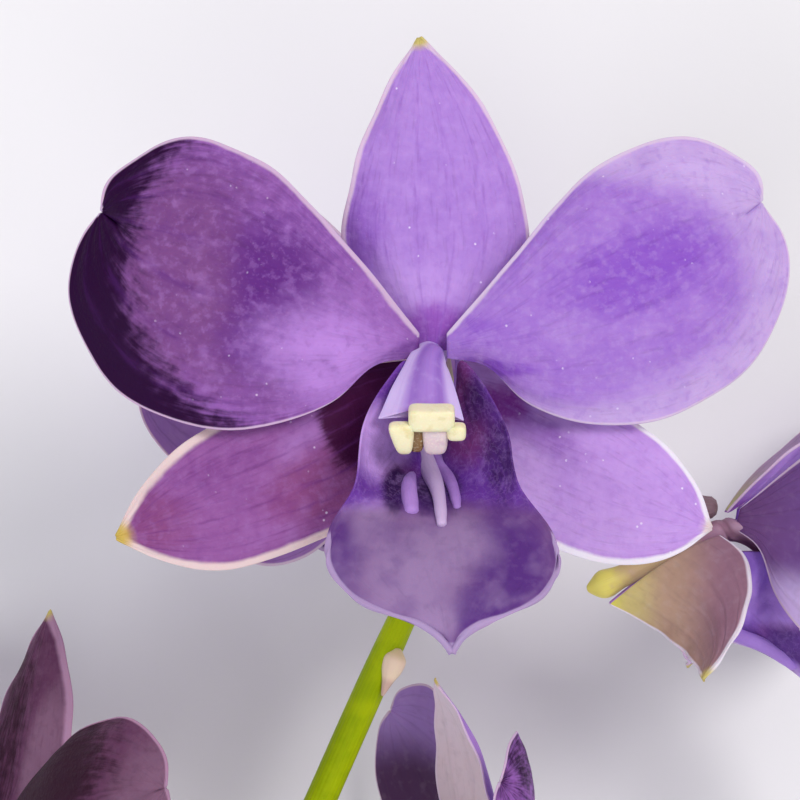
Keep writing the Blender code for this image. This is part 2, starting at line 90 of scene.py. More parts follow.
def along(points: Sequence[Point], shares: Sequence[float]) -> np.ndarray:
    """Return places on a smooth curve through points.

    Args:
        points: The curve's points: x, y, z and any values that go with them.
        shares: Where the places are, as shares of the curve's length.

    Returns:
        One row for each share.
    """
    knots = np.array(points, dtype=float)
    moves = np.diff(knots, axis=0)
    steps = np.linalg.norm(moves[:, :3], axis=1)[:, None]
    slopes = moves / steps
    tangents = np.vstack([slopes[:1], slopes[1:], slopes[-1:]])
    before, after = steps[:-1], steps[1:]
    tangents[1:-1] = (slopes[:-1] * after + slopes[1:] * before) / (before + after)
    t = np.linspace(0.0, 1.0, CURVE_STEPS, endpoint=False)[:, None]
    fine = []
    for index, step in enumerate(steps[:, 0]):
        start = (1 + 2 * t) * (1 - t) ** 2 * knots[index]
        end = t * t * (3 - 2 * t) * knots[index + 1]
        leaving = t * (1 - t) ** 2 * step * tangents[index]
        arriving = t * t * (t - 1) * step * tangents[index + 1]
        fine.append(start + end + leaving + arriving)
    curve = np.vstack([*fine, knots[-1:]])
    lengths = np.linalg.norm(np.diff(curve[:, :3], axis=0), axis=1)
    reached = np.concatenate([[0.0], np.cumsum(lengths)])
    wanted = np.array(shares) * reached[-1]
    return np.column_stack([np.interp(wanted, reached, column) for column in curve.T])


def smooth(values: np.ndarray | float, low: float, high: float) -> np.ndarray | float:
    """Return a soft step: 0 at low and below, 1 at high and above.

    Args:
        values: What is looked at.
        low: Where the step starts.
        high: Where it ends.

    Returns:
        The step's height at each value.
    """
    t = np.clip((np.asarray(values, dtype=float) - low) / (high - low), 0.0, 1.0)
    return t * t * (3 - 2 * t)


def swell(places: np.ndarray, size: float, seed: float) -> np.ndarray:
    """Return gentle rises and dips over a grid of places.

    Args:
        places: The places, with x, y and z last.
        size: How far apart the rises are.
        seed: A number that gives each piece its own.

    Returns:
        A height between about -1 and 1 for each place.
    """
    flat = places.reshape(-1, 3) / size + seed
    heights = [noise.noise(Vector(place)) for place in flat]
    return np.array(heights).reshape(places.shape[:-1])


def raised(places: np.ndarray, height: np.ndarray) -> np.ndarray:
    """Return a sheet's places, each moved by its height the way that the sheet faces there.

    Args:
        places: The grid, from base to tip and from its right margin to its left.
        height: The heights in the same grid.

    Returns:
        The moved grid.
    """
    facing = np.cross(np.gradient(places, axis=0), np.gradient(places, axis=1))
    facing /= np.maximum(np.linalg.norm(facing, axis=-1, keepdims=True), 1e-9)
    return places + facing * height[..., None]


def side_distances(places: np.ndarray) -> list[np.ndarray]:
    """Return how far each place of a sheet is from its side margins.

    Args:
        places: The sheet's grid.

    Returns:
        Distances in the same grid, from the first column and from the last.
    """
    flat = places.reshape(-1, 1, 3)
    distances = []
    for side in (places[:, 0], places[:, -1]):
        start, move = side[:-1], np.diff(side, axis=0)
        length = np.maximum((move ** 2).sum(axis=1), 1e-9)
        share = np.clip(((flat - start) * move).sum(axis=2) / length, 0.0, 1.0)
        gap = flat - (start + share[:, :, None] * move)
        distances.append(np.linalg.norm(gap, axis=2).min(axis=1).reshape(places.shape[:2]))
    return distances


class Tone(Enum):
    """A colour that a finish lays over its body where a piece asks for it."""

    # LIGHT and SHADE patches are partly the bloom's own paler and darker colour and partly painted light where
    # light falls on it and painted shade where it doesn't; some DEEP and FLUSH patches are painted shade too.
    DEEP = "deep"
    LIGHT = "light"
    FLUSH = "flush"
    SHADE = "shade"


@dataclass(frozen=True)
class Patch:
    """A soft oval on the bloom's face, or all that is beyond it, where a piece takes on a tone."""

    x: float
    y: float
    width: float
    length: float
    strength: float = 1.0
    turn: float = 0.0
    blur: float = 0.55
    beyond: bool = False

    def amount(self, places: np.ndarray) -> np.ndarray:
        """Return the tone's strength at each place.

        Args:
            places: The places, in the bloom's own millimetres.

        Returns:
            Strengths from 0 to 1.
        """
        angle = math.radians(self.turn)
        x, y = places[..., 0] - self.x, places[..., 1] - self.y
        aside = (x * math.cos(angle) + y * math.sin(angle)) / self.width
        ahead = (y * math.cos(angle) - x * math.sin(angle)) / self.length
        inside = smooth(np.hypot(aside, ahead), 1.0 + self.blur, 1.0 - self.blur)
        return self.strength * (1.0 - inside if self.beyond else inside)


Patches = dict[Tone, list[Patch]]


def tones_of(places: np.ndarray, patches: Patches) -> dict[str, np.ndarray]:
    """Return how strong each tone is at each place.

    Args:
        places: The grid, in the bloom's own millimetres.
        patches: The ovals, by tone.

    Returns:
        Strengths from 0 to 1, by the tone's name.
    """
    strengths = {}
    for tone in Tone:
        bare = np.ones(places.shape[:-1])
        for patch in patches.get(tone, []):
            bare *= 1.0 - patch.amount(places)
        strengths[tone.value] = 1.0 - bare
    return strengths


class Wire:
    """A shader socket that stands in an expression, where each operator adds a Math node."""

    def __init__(self, dish: "Dish", socket: bpy.types.NodeSocket) -> None:
        """Keep the material that is mixed and the socket."""
        self.dish = dish
        self.socket = socket

    def _math(self, operation: str, *values: "Wire | float") -> "Wire":
        """Return the result of one Math node on the values."""
        node = self.dish.node("ShaderNodeMath", {"operation": operation}, dict(enumerate(values)))
        return Wire(self.dish, node.outputs[0])

    def __add__(self, other: "Wire | float") -> "Wire":
        """Return the sum."""
        return self._math("ADD", self, other)

    def __sub__(self, other: "Wire | float") -> "Wire":
        """Return the difference."""
        return self._math("SUBTRACT", self, other)

    def __rsub__(self, other: float) -> "Wire":
        """Return what is left of a number."""
        return self._math("SUBTRACT", other, self)

    def __mul__(self, other: "Wire | float") -> "Wire":
        """Return the product."""
        return self._math("MULTIPLY", self, other)

    __radd__ = __add__
    __rmul__ = __mul__

    def wave(self) -> "Wire":
        """Return the sine."""
        return self._math("SINE", self)

    def size(self) -> "Wire":
        """Return the value without its sign."""
        return self._math("ABSOLUTE", self)

    def stripes(self, count: int) -> "Wire":
        """Return that many ridges between 0 and 1, each from 0 up to 1 and back."""
        return (self * (math.pi * count)).wave().size()


class Dish:
    """A procedural material while it is being mixed."""

    def __init__(self, name: str) -> None:
        """Start a material with a plain Principled shader.

        Args:
            name: The material's name.
        """
        self.material = bpy.data.materials.new(name)
        self.material.use_nodes = True
        self.shader = self.material.node_tree.nodes["Principled BSDF"]

    def node(self, kind: str, settings: dict | None = None, inputs: dict | None = None) -> bpy.types.Node:
        """Add a node.

        Args:
            kind: The node's type.
            settings: Its properties, which are set first.
            inputs: Values or wires for its sockets, by name or number.

        Returns:
            The node.
        """
        node = self.material.node_tree.nodes.new(kind)
        for key, value in (settings or {}).items():
            setattr(node, key, value)
        for key, value in (inputs or {}).items():
            if isinstance(value, Wire):
                self.material.node_tree.links.new(value.socket, node.inputs[key])
            else:
                node.inputs[key].default_value = value
        return node

    def attribute(self, name: str) -> Wire:
        """Return a value that the piece's mesh holds at each point."""
        node = self.node("ShaderNodeAttribute", {"attribute_name": name})
        return Wire(self, node.outputs["Fac"])

    def chart(self) -> tuple[Wire, Wire]:
        """Read the piece's chart.

        Returns:
            The place along the piece and the place across it, each from 0 to 1.
        """
        place = self.node("ShaderNodeUVMap", {"uv_map": "UVMap"})
        split = self.node("ShaderNodeSeparateXYZ", None, {0: Wire(self, place.outputs[0])})
        return Wire(self, split.outputs[0]), Wire(self, split.outputs[1])

    def place(self) -> Wire:
        """Return the place on the object, in metres."""
        return Wire(self, self.node("ShaderNodeTexCoord").outputs["Object"])

    def grain(self, size: float, detail: float = 3.0) -> Wire:
        """Return cloudy noise from 0 to 1.

        Args:
            size: How large its clouds are, in millimetres.
            detail: How many finer layers it has.

        Returns:
            The noise.
        """
        return self._noise(self.place(), 1 / (size * MM), detail)

    def strands(self, long: float, wide: float, detail: float = 3.0) -> Wire:
        """Return cloudy noise that is drawn out along the piece.

        Args:
            long: How many clouds there are along it.
            wide: How many there are across it.
            detail: How many finer layers it has.

        Returns:
            The noise.
        """
        down, across = self.chart()
        flow = self.node("ShaderNodeCombineXYZ", None, {0: down * long, 1: across * wide})
        return self._noise(Wire(self, flow.outputs[0]), 1.0, detail)

    def _noise(self, where: Wire, scale: float, detail: float) -> Wire:
        """Return the value of a Noise Texture."""
        inputs = {"Vector": where, "Scale": scale, "Detail": detail}
        return Wire(self, self.node("ShaderNodeTexNoise", None, inputs).outputs["Fac"])

    def glints(self, spacing: float, radius: float) -> Wire:
        """Return small round dots.

        Args:
            spacing: How far apart the dots are, in millimetres.
            radius: How large a dot is, as a share of the spacing.

        Returns:
            1 in a dot and 0 between.
        """
        inputs = {"Vector": self.place(), "Scale": 1 / (spacing * MM)}
        cells = self.node("ShaderNodeTexVoronoi", {"feature": "F1"}, inputs)
        return self.step(Wire(self, cells.outputs["Distance"]), radius, radius * 0.4)

    def step(self, value: Wire, low: float, high: float) -> Wire:
        """Return a soft step.

        Args:
            value: What is looked at.
            low: Where the step is 0.
            high: Where it is 1. It may lie below low.

        Returns:
            The step.
        """
        inputs = {"Value": value, "From Min": low, "From Max": high}
        node = self.node("ShaderNodeMapRange", {"interpolation_type": "SMOOTHSTEP"}, inputs)
        return Wire(self, node.outputs[0])

    def mix(self, under: "Wire | Colour", over: "Wire | Colour", mask: "Wire | float") -> Wire:
        """Lay one colour over another.

        Args:
            under: The colour where the mask is 0.
            over: The colour where it is 1.
            mask: How much of the upper colour shows.

        Returns:
            The mixed colour.
        """
        inputs = {0: mask}
        for slot, colour in ((6, under), (7, over)):
            inputs[slot] = colour if isinstance(colour, Wire) else (*colour, 1.0)
        node = self.node("ShaderNodeMix", {"data_type": "RGBA", "clamp_factor": True}, inputs)
        return Wire(self, node.outputs[2])

    def coat(self, colour: "Wire | Colour", *coats: "tuple[Wire | Colour, Wire]") -> Wire:
        """Lay several colours over one, each on those before it.

        Args:
            colour: The colour under them all.
            coats: Each colour with the mask that says where it shows.

        Returns:
            The coated colour.
        """
        for over, mask in coats:
            colour = self.mix(colour, over, mask)
        return colour

    def toned(self, colour: "Wire | Colour", tones: "dict[Tone, Wire | Colour]", ragged: Wire) -> Wire:
        """Lay tones over a colour where the piece asks for them, painted light and painted shade among them,
        each with a ragged border.

        Args:
            colour: The colour under them.
            tones: The tones' colours.
            ragged: What frays the borders, the painted shade's the most.

        Returns:
            The toned colour.
        """
        for tone, over in tones.items():
            amount = self.attribute(tone.value)
            fray = ragged * (SHADE_FRAY if tone is Tone.SHADE else TONE_FRAY)
            amount = amount + fray * (amount * (1.0 - amount) * 4.0)
            colour = self.mix(colour, over, self.step(amount, 0.05, 0.95))
        return colour

    def serve(self, colour: Wire, roughness: Wire, height: Wire, relief: float, soft: float = 0.0,
              shine: float = 0.5) -> None:
        """Feed the shader.

        Args:
            colour: The surface's colour.
            roughness: Its roughness.
            height: Its fine relief, from about 0 to 1.
            relief: How deep that relief is, in millimetres.
            soft: How much light goes in under the skin.
            shine: How strong its reflections are.
        """
        bump = self.node("ShaderNodeBump", None, {"Height": height, "Distance": relief * MM, "Strength": 1.0})
        fed = {"Base Color": colour.socket, "Roughness": roughness.socket, "Normal": bump.outputs[0]}
        for name, socket in fed.items():
            self.material.node_tree.links.new(socket, self.shader.inputs[name])
        plain = {"Subsurface Weight": soft, "Subsurface Scale": SKIN_DEPTH * MM, "Specular IOR Level": shine}
        for name, value in plain.items():
            self.shader.inputs[name].default_value = value


def tones_in(finish: "BladeFinish | LipFinish") -> dict[Tone, Colour]:
    """Return the colours that a finish has for the tones."""
    return {tone: getattr(finish, tone.value) for tone in Tone}


@dataclass(frozen=True)
class BladeFinish:
    """The face of a petal or sepal: toned, clouded and finely mottled, with soft veins and a pale margin."""

    name: str
    body: Colour
    deep: Colour
    # light and shade colour the LIGHT and SHADE tones, which are partly painted light and painted shade; they
    # also colour the random clouds, mottles and streaks.
    light: Colour
    flush: Colour = dye(140, 66, 150)
    shade: Colour = dye(70, 24, 92)
    margin: Colour = dye(212, 184, 214)
    tip: Colour = dye(206, 190, 104)
    # glint is the colour of painted glints, tiny highlights laid into the colour; sparkle is how strong they
    # are.
    glint: Colour = dye(236, 222, 248)
    veins: int = 7
    vein_strength: float = 0.1
    sparkle: float = 0.6

    def make(self) -> None:
        """Mix the finish into a material of its name."""
        dish = Dish(self.name)
        ragged = dish.grain(1.5, 6.0) - 0.5
        cloud = dish.grain(3.0)
        mottle = dish.grain(0.85, 4.0)
        fleck = dish.grain(0.34)
        strand = dish.strands(12.0, 46.0)
        # outside_shade is 0 in the painted shade, where the clouds, mottles, flecks and glints are kept out.
        outside_shade = dish.step(dish.attribute("shade"), 0.8, 0.0)
        vein = dish.step((dish.chart()[1] + ragged * 0.04).stripes(self.veins), 0.6, 0.0)
        vein = vein * dish.step(strand, 0.36, 0.62)
        # painted glints: tiny white highlights, in clusters
        spots = dish.glints(1.3, 0.12) * dish.step(cloud, 0.46, 0.56) * dish.step(fleck, 0.4, 0.6) * outside_shade
        colour = dish.coat(
            dish.toned(self.body, tones_in(self), ragged * 1.3 + (strand - 0.5) * 1.2),
            (self.deep, dish.step(cloud, 0.45, 0.72) * outside_shade * 0.2),
            (self.light, dish.step(cloud, 0.45, 0.28) * outside_shade * 0.18),
            (self.deep, dish.step(mottle, 0.5, 0.7) * outside_shade * 0.2),
            (self.light, dish.step(mottle, 0.5, 0.32) * outside_shade * 0.18),
            (self.deep, vein * (dish.attribute("flush") * 0.35 + self.vein_strength)),
            (self.shade, dish.step(strand, 0.52, 0.76) * 0.16),
            (self.light, dish.step(fleck, 0.46, 0.24) * outside_shade * 0.12),
            (self.glint, spots * self.sparkle))
        colour = dish.mix(self.margin, colour, dish.step(dish.attribute("rim") + ragged * 0.4, 0.6, 1.25))
        colour = dish.mix(colour, self.tip, dish.attribute("tip"))
        height = fleck * 0.6 + strand * 0.5 + mottle * 0.8
        dish.serve(colour, fleck * 0.2 + 0.46, height, relief=0.09, soft=0.1, shine=0.08)


@dataclass(frozen=True)
class BackFinish:
    """The back of a petal or sepal, whose colour changes along it, with raised veins and a pale margin."""

    name: str
    bands: tuple[tuple[float, Colour], ...]
    by: str = "down"
    margin: Colour = dye(214, 192, 212)
    # light and shade are painted light and painted shade, where the piece's light and shade attributes ask;
    # shade also darkens the veins, streaks and mottles.
    light: Colour = dye(212, 188, 234)
    shade: Colour = dye(74, 44, 76)
    tip: Colour = dye(206, 190, 104)
    veins: int = 9

    def make(self) -> None:
        """Mix the finish into a material of its name."""
        dish = Dish(self.name)
        ragged = dish.grain(1.8, 4.0) - 0.5
        mottle = dish.grain(1.1, 4.0)
        fleck = dish.grain(0.45)
        strand = dish.strands(9.0, 30.0)
        place = dish.attribute(self.by)
        vein = dish.step((dish.chart()[1] + ragged * 0.03).stripes(self.veins), 0.5, 0.0)
        bands = [(band, dish.step(place, before, reached))
                 for (before, _), (reached, band) in zip(self.bands, self.bands[1:])]
        colour = dish.coat(
            self.bands[0][1], *bands,
            (self.light, dish.attribute("light")),
            (self.shade, dish.attribute("shade")),
            (self.shade, vein * 0.06),
            (self.shade, dish.step(strand, 0.5, 0.8) * 0.14),
            (self.shade, dish.step(mottle, 0.5, 0.75) * 0.1),
            (self.margin, dish.step(mottle, 0.5, 0.3) * 0.05))
        colour = dish.mix(self.margin, colour, dish.step(dish.attribute("rim") + ragged * 0.3, 0.6, 1.2))
        colour = dish.mix(colour, self.tip, dish.attribute("tip"))
        height = fleck * 0.4 + vein * 0.6 + strand * 0.4
        dish.serve(colour, fleck * 0.2 + 0.44, height, relief=0.06, soft=0.1, shine=0.16)


@dataclass(frozen=True)
class LipFinish:
    """The lip: violet side lobes, painted shade in its throat and hollows, a hazy middle lobe, pale keels and
    a pale rolled rim.
    """

    name: str
    body: Colour = dye(108, 56, 158)
    lobe: Colour = dye(118, 78, 134)
    deep: Colour = dye(84, 40, 122)
    light: Colour = dye(154, 124, 170)
    flush: Colour = dye(118, 52, 116)
    # shade is painted shade: in the throat, in the hollows beside the keels and inside the right side lobe.
    shade: Colour = dye(46, 14, 70)
    rim: Colour = dye(172, 146, 190)
    keel: Colour = dye(206, 180, 220)
    # violet is raised to stand in for light on the side lobes' steep walls, where it is painted light; it also
    # tints the keels.
    violet: Colour = dye(206, 162, 238)

    def make(self) -> None:
        """Mix the finish into a material of its name."""
        dish = Dish(self.name)
        ragged = dish.grain(1.4, 5.0) - 0.5
        fleck = dish.grain(0.4)
        mottle = dish.grain(1.1, 4.0)
        cloud = dish.grain(2.8, 2.0)
        strand = dish.strands(9.0, 40.0, 4.0)
        pale = dish.attribute("keel")
        lobe = dish.step(dish.attribute("lobe") + ragged * 0.4, 0.15, 0.85)
        wrinkle = dish.step((dish.grain(0.7, 4.0) - 0.5).size(), 0.05, 0.0) * (1.0 - lobe)
        # pale_and_lit is the lip's LIGHT tone: painted light on the side lobes, and the pale haze on the
        # middle lobe.
        pale_and_lit = dish.mix(self.violet, self.light, lobe)
        tones = tones_in(self) | {Tone.LIGHT: pale_and_lit}
        colour = dish.coat(
            dish.toned(dish.mix(self.body, self.lobe, lobe), tones, ragged * 0.6 + (strand - 0.5) * 0.5),
            (self.shade, dish.step(strand, 0.52, 0.8) * 0.18),
            (self.shade, dish.step(mottle, 0.52, 0.72) * 0.12),
            (pale_and_lit, dish.step(mottle, 0.48, 0.3) * 0.14),
            (self.deep, dish.step(cloud, 0.42, 0.72) * 0.34),
            (pale_and_lit, dish.step(cloud, 0.56, 0.28) * lobe * 0.3),
            (pale_and_lit, wrinkle * 0.1),
            (pale_and_lit, dish.step(fleck, 0.55, 0.85) * 0.08))
        colour = dish.coat(
            dish.mix(self.rim, colour, dish.step(dish.attribute("rim") + ragged * 0.15, 0.75, 1.1)),
            (self.violet, dish.step(pale, 0.0, 0.25) * 0.42),
            (self.keel, dish.step(pale, 0.35, 1.0) * dish.step(fleck, 0.05, 0.35)))
        height = fleck * 0.5 + strand * 0.4 + wrinkle * 0.14
        dish.serve(colour, fleck * 0.2 + 0.4, height, relief=0.08, soft=0.06, shine=0.2)


@dataclass(frozen=True)
class ColumnFinish:
    """The waxy column: a violet back, painted shade in the crease and a pale wing at either side, and a yellow
    foot.
    """

    name: str = "column_skin"
    body: Colour = dye(168, 126, 210)
    # crease is painted shade, laid where the shade attribute marks the creases beside the back.
    crease: Colour = dye(142, 98, 188)
    wing: Colour = dye(212, 188, 238)
    foot: Colour = dye(220, 208, 104)
    sole: Colour = dye(160, 120, 212)
    foot_to: float = 0.1
    sole_to: float = 0.34

    def make(self) -> None:
        """Mix the finish into a material of its name."""
        dish = Dish(self.name)
        cloud = dish.grain(1.2, 4.0)
        fleck = dish.grain(0.3, 2.0)
        strand = dish.strands(6.0, 60.0)
        reached = dish.chart()[0] + cloud * 0.08
        colour = dish.coat(
            self.foot,
            (self.sole, dish.step(reached, self.foot_to, self.foot_to + 0.12)),
            (self.body, dish.step(reached, self.sole_to, self.sole_to + 0.1)),
            (self.crease, dish.attribute("shade")),
            (self.wing, dish.attribute("light")),
            (self.crease, dish.step(strand, 0.5, 0.8) * 0.16),
            (self.wing, dish.step(cloud, 0.5, 0.8) * 0.3))
        height = strand * 0.6 + fleck * 0.4
        dish.serve(colour, fleck * 0.15 + 0.36, height, relief=0.05, soft=0.1, shine=0.25)


@dataclass(frozen=True)
class StreakFinish:
    """A stalk or a pedicel: fine lengthwise streaks between two ends of their own colours."""

    name: str
    body: Colour
    light: Colour
    start: Colour
    end: Colour
    start_to: float
    end_from: float
    streaks: int

    def make(self) -> None:
        """Mix the finish into a material of its name."""
        dish = Dish(self.name)
        down, around = dish.chart()
        cloud = dish.grain(3.0, 4.0)
        fleck = dish.grain(0.4, 2.0)
        reached = down + cloud * 0.1
        line = (around + cloud * 0.05).stripes(self.streaks)
        colour = dish.coat(
            self.body,
            (self.light, dish.step(cloud, 0.35, 0.7)),
            (self.light, dish.step(line, 0.5, 0.05) * 0.35))
        colour = dish.coat(
            dish.mix(self.start, colour, dish.step(reached, 0.5 * self.start_to, self.start_to + 0.05)),
            (self.end, dish.step(reached, self.end_from, self.end_from + 0.15)),
            (self.light, dish.step(fleck, 0.6, 0.85) * 0.3),
            (self.end, dish.attribute("accent")))
        height = line * 0.6 + fleck * 0.4
        dish.serve(colour, fleck * 0.15 + 0.34, height, relief=0.05, soft=0.06, shine=0.12)


@dataclass(frozen=True)
class CapFinish:
    """The waxy cream anther cap."""

    name: str
    body: Colour = dye(242, 234, 192)
    shade: Colour = dye(214, 196, 120)
    light: Colour = dye(250, 246, 222)

    def make(self) -> None:
        """Mix the finish into a material of its name."""
        dish = Dish(self.name)
        cloud = dish.grain(1.1, 4.0)
        fleck = dish.grain(0.22, 2.0)
        colour = dish.coat(
            self.body,
            (self.shade, dish.step(cloud, 0.5, 0.75) * 0.5),
            (self.light, dish.step(fleck, 0.5, 0.8) * 0.4))
        dish.serve(colour, cloud * 0.2 + 0.32, fleck, relief=0.03, soft=0.2)


@dataclass(frozen=True)
class FloorFinish:
    """The plain pale floor, with hardly any grain."""

    name: str = "pale_floor"
    body: Colour = (0.86, 0.85, 0.86)
    light: Colour = (0.89, 0.88, 0.89)

    def make(self) -> None:
        """Mix the finish into a material of its name."""
        dish = Dish(self.name)
        fleck = dish.grain(1.2)
        colour = dish.mix(self.body, self.light, dish.grain(60.0))
        dish.serve(colour, fleck * 0.1 + 0.7, fleck, relief=0.02)


@dataclass(frozen=True)
class Outline:
    """A tepal's three smooth curves from its base to its tip, seen from the front."""

    left: tuple[Point, ...]
    middle: tuple[Point, ...]
    right: tuple[Point, ...]

    def mirrored(self) -> "Outline":
        """Turn the outline over.

        Returns:
            Its twin on the bloom's other side.
        """
        def flip(points: tuple[Point, ...]) -> tuple[Point, ...]:
            """Return the points with x turned round."""
            return tuple((-x, y, z) for x, y, z in points)
        return Outline(flip(self.right), flip(self.middle), flip(self.left))


DORSAL_SEPAL = Outline(
    left=((-1.6, -0.5, -1.5), (-4.8, 2.2, -2.0), (-8.1, 8.0, -2.3), (-7.3, 15.8, -1.4),
          (-3.6, 24.3, -0.2), (-1.3, 27.8, 0.4)),
    middle=((0.0, -0.5, -1.5), (0.1, 9.0, -0.4), (-0.2, 18.5, 0.4), (-1.3, 27.8, 0.4)),
    right=((1.6, -0.5, -1.5), (5.0, 2.3, -2.0), (8.7, 8.4, -2.3), (7.5, 15.8, -1.4),
           (2.5, 24.4, -0.2), (-1.3, 27.8, 0.4)))
PETAL_LEFT = Outline(
    left=((-1.2, -1.2, 0.1), (-5.1, -1.7, 0.3), (-8.9, -5.1, 0.2), (-14.9, -7.3, -0.1),
          (-22.9, -7.1, -0.8), (-30.4, -2.2, -2.2), (-33.2, 5.5, -3.1), (-31.7, 10.7, -3.0),
          (-30.3, 12.2, -2.6)),
    middle=((-1.2, -0.1, 0.1), (-8.0, 2.2, 1.6), (-14.5, 4.8, 2.6), (-21.5, 7.4, 2.4),
            (-27.2, 10.0, 0.4), (-30.3, 12.2, -2.6)),
    right=((-1.2, 1.0, 0.1), (-8.2, 9.4, 0.7), (-15.4, 16.4, 0.3), (-21.0, 18.8, -0.4),
           (-26.7, 17.3, -1.4), (-29.7, 14.7, -2.2), (-30.3, 12.2, -2.6)))
PETAL_RIGHT = Outline(
    left=((1.2, 1.0, 0.1), (7.2, 7.8, 0.7), (14.2, 15.6, 0.3), (20.6, 18.7, -0.4),
          (26.9, 17.6, -1.5), (29.7, 15.3, -2.2), (30.0, 13.1, -2.5)),
    middle=((1.2, -0.1, 0.1), (7.6, 2.0, 1.6), (13.8, 4.8, 2.6), (20.6, 7.4, 2.4),
            (26.8, 10.6, 0.4), (30.0, 13.1, -2.5)),
    right=((1.2, -1.2, 0.1), (4.7, -1.8, 0.3), (8.4, -5.2, 0.2), (13.0, -7.0, -0.1),
           (20.3, -6.8, -0.7), (27.9, -2.8, -2.1), (32.3, 4.8, -3.0), (31.8, 10.4, -3.0),
           (30.0, 13.1, -2.5)))
LATERAL_SEPAL_LEFT = Outline(
    left=((-1.3, -8.7, -13.6), (-0.7, -10.4, -10.6), (-0.8, -12.4, -7.0), (-3.2, -14.9, -4.2),
          (-10.0, -17.6, -2.6), (-19.0, -20.4, -1.9), (-25.6, -19.2, -1.3), (-28.8, -17.4, -0.9)),
    middle=((-1.9, -4.4, -7.8), (-4.6, -6.8, -5.2), (-8.2, -9.4, -3.0), (-15.0, -12.4, -1.5),
            (-22.0, -15.0, -1.0), (-28.8, -17.4, -0.9)),
    right=((-2.0, -1.2, -2.1), (-6.0, -1.7, -2.4), (-13.0, -4.2, -2.5), (-20.5, -7.5, -2.2),
           (-25.9, -12.0, -1.6), (-28.8, -17.4, -0.9)))
LATERAL_SEPAL_RIGHT = Outline(
    left=((2.0, -1.2, -2.1), (6.0, -1.7, -2.4), (12.5, -4.2, -2.5), (18.8, -7.2, -2.2),
          (23.7, -12.2, -1.6), (25.4, -16.6, -0.9)),
    middle=((1.9, -4.4, -7.8), (4.6, -6.8, -5.2), (8.2, -9.4, -3.0), (14.0, -12.4, -1.5),
            (20.0, -15.0, -1.0), (25.4, -16.6, -0.9)),
    right=((1.3, -8.7, -13.6), (0.7, -10.4, -10.6), (0.8, -12.4, -7.0), (3.2, -14.9, -4.2),
           (9.5, -17.8, -2.6), (17.0, -20.0, -1.9), (23.0, -18.6, -1.4), (25.4, -16.6, -0.9)))
HALF_OPEN_SEPAL = Outline(
    left=((-1.3, -8.7, -13.6), (-0.7, -9.9, -11.2), (-1.2, -11.5, -8.4), (-4.0, -13.3, -6.2),
          (-8.0, -14.9, -5.0), (-12.0, -15.9, -4.6)),
    middle=((-1.9, -4.4, -7.8), (-4.6, -6.6, -5.0), (-7.6, -9.4, -2.6), (-10.4, -12.6, -2.6),
            (-12.0, -15.9, -4.6)),
    right=((-2.0, -1.5, -2.1), (-5.2, -3.4, 0.2), (-8.4, -6.4, 0.7), (-10.6, -9.8, -0.1),
           (-11.8, -13.2, -2.2), (-12.0, -15.9, -4.6)))


def turned(first: float, second: float, degrees: float) -> tuple[float, float]:
    """Return a pair of lengths turned in their plane, from the first one's way to the second's."""
    cosine, sine = math.cos(math.radians(degrees)), math.sin(math.radians(degrees))
    return first * cosine - second * sine, second * cosine + first * sine


@dataclass(frozen=True)
class Bend:
    """How a tepal is drooped and swung forward about its claw, and cupped."""

    side: int = 0
    droop: float = 0.0
    swing: float = 0.0
    cup: float = 0.0

    def of(self, points: tuple[Point, ...]) -> list[Point]:
        """Return the points of a curve where the bend takes them."""
        return [self._moved(*point) for point in points]

    def _moved(self, x: float, y: float, z: float) -> Point:
        """Move one point.

        Args:
            x: Its place to the side.
            y: Its place up the face.
            z: Its place out of the face.

        Returns:
            The moved point.
        """
        if self.side:
            out, y = turned(self.side * x - CLAW_X, y, -self.droop)
            out, z = turned(out, z, self.swing)
            x = self.side * (CLAW_X + out)
        else:
            y, z = turned(y, z, self.swing)
        return (x, y, z + self.cup * (math.hypot(x, y) / CUP_REACH) ** 2)


def pick(thing: bpy.types.Object | None = None, *others: bpy.types.Object) -> None:
    """Select only these pieces, or none at all.

    Args:
        thing: The piece that becomes the active one.
        others: More pieces.
    """
    bpy.ops.object.select_all(action="DESELECT")
    if thing:
        for chosen in (thing, *others):
            chosen.select_set(True)
        bpy.context.view_layer.objects.active = thing


def laid_grid(name: str, places: np.ndarray, matrix: Matrix) -> bpy.types.Object:
    """Add a grid and lay it on places.

    Args:
        name: The piece's name.
        places: The places in millimetres, as rows and columns.
        matrix: What turns them into the world's metres.

    Returns:
        The sheet, with its chart in its UV map.
    """
    rows, columns = places.shape[0] - 1, places.shape[1] - 1
    pick()
    bpy.ops.mesh.primitive_grid_add(x_subdivisions=rows, y_subdivisions=columns, size=1.0)
    sheet = bpy.context.object
    sheet.name = sheet.data.name = name
    spots = np.empty(len(sheet.data.vertices) * 3)
    sheet.data.vertices.foreach_get("co", spots)
    spots = spots.reshape(-1, 3) + 0.5
    cells = [np.rint(spots[:, 0] * rows).astype(np.int32), np.rint(spots[:, 1] * columns).astype(np.int32)]
    turn = np.array(matrix)
    laid = places[tuple(cells)] @ turn[:3, :3].T + turn[:3, 3]
    sheet.data.vertices.foreach_set("co", laid.ravel())
    for key, values in zip(GRID_KEYS, cells):
        sheet.data.attributes.new(key, "INT", "POINT").data.foreach_set("value", values)
    sheet.data.update()
    return sheet


def cells_of(sheet: bpy.types.Object) -> tuple[np.ndarray, ...]:
    """Return the row and the column that a laid grid keeps for each of its points.

    Args:
        sheet: The laid grid.

    Returns:
        The rows and the columns.
    """
    cells = tuple(np.empty(len(sheet.data.vertices), dtype=np.int32) for _ in GRID_KEYS)
    for key, values in zip(GRID_KEYS, cells):
        sheet.data.attributes[key].data.foreach_get("value", values)
    return cells


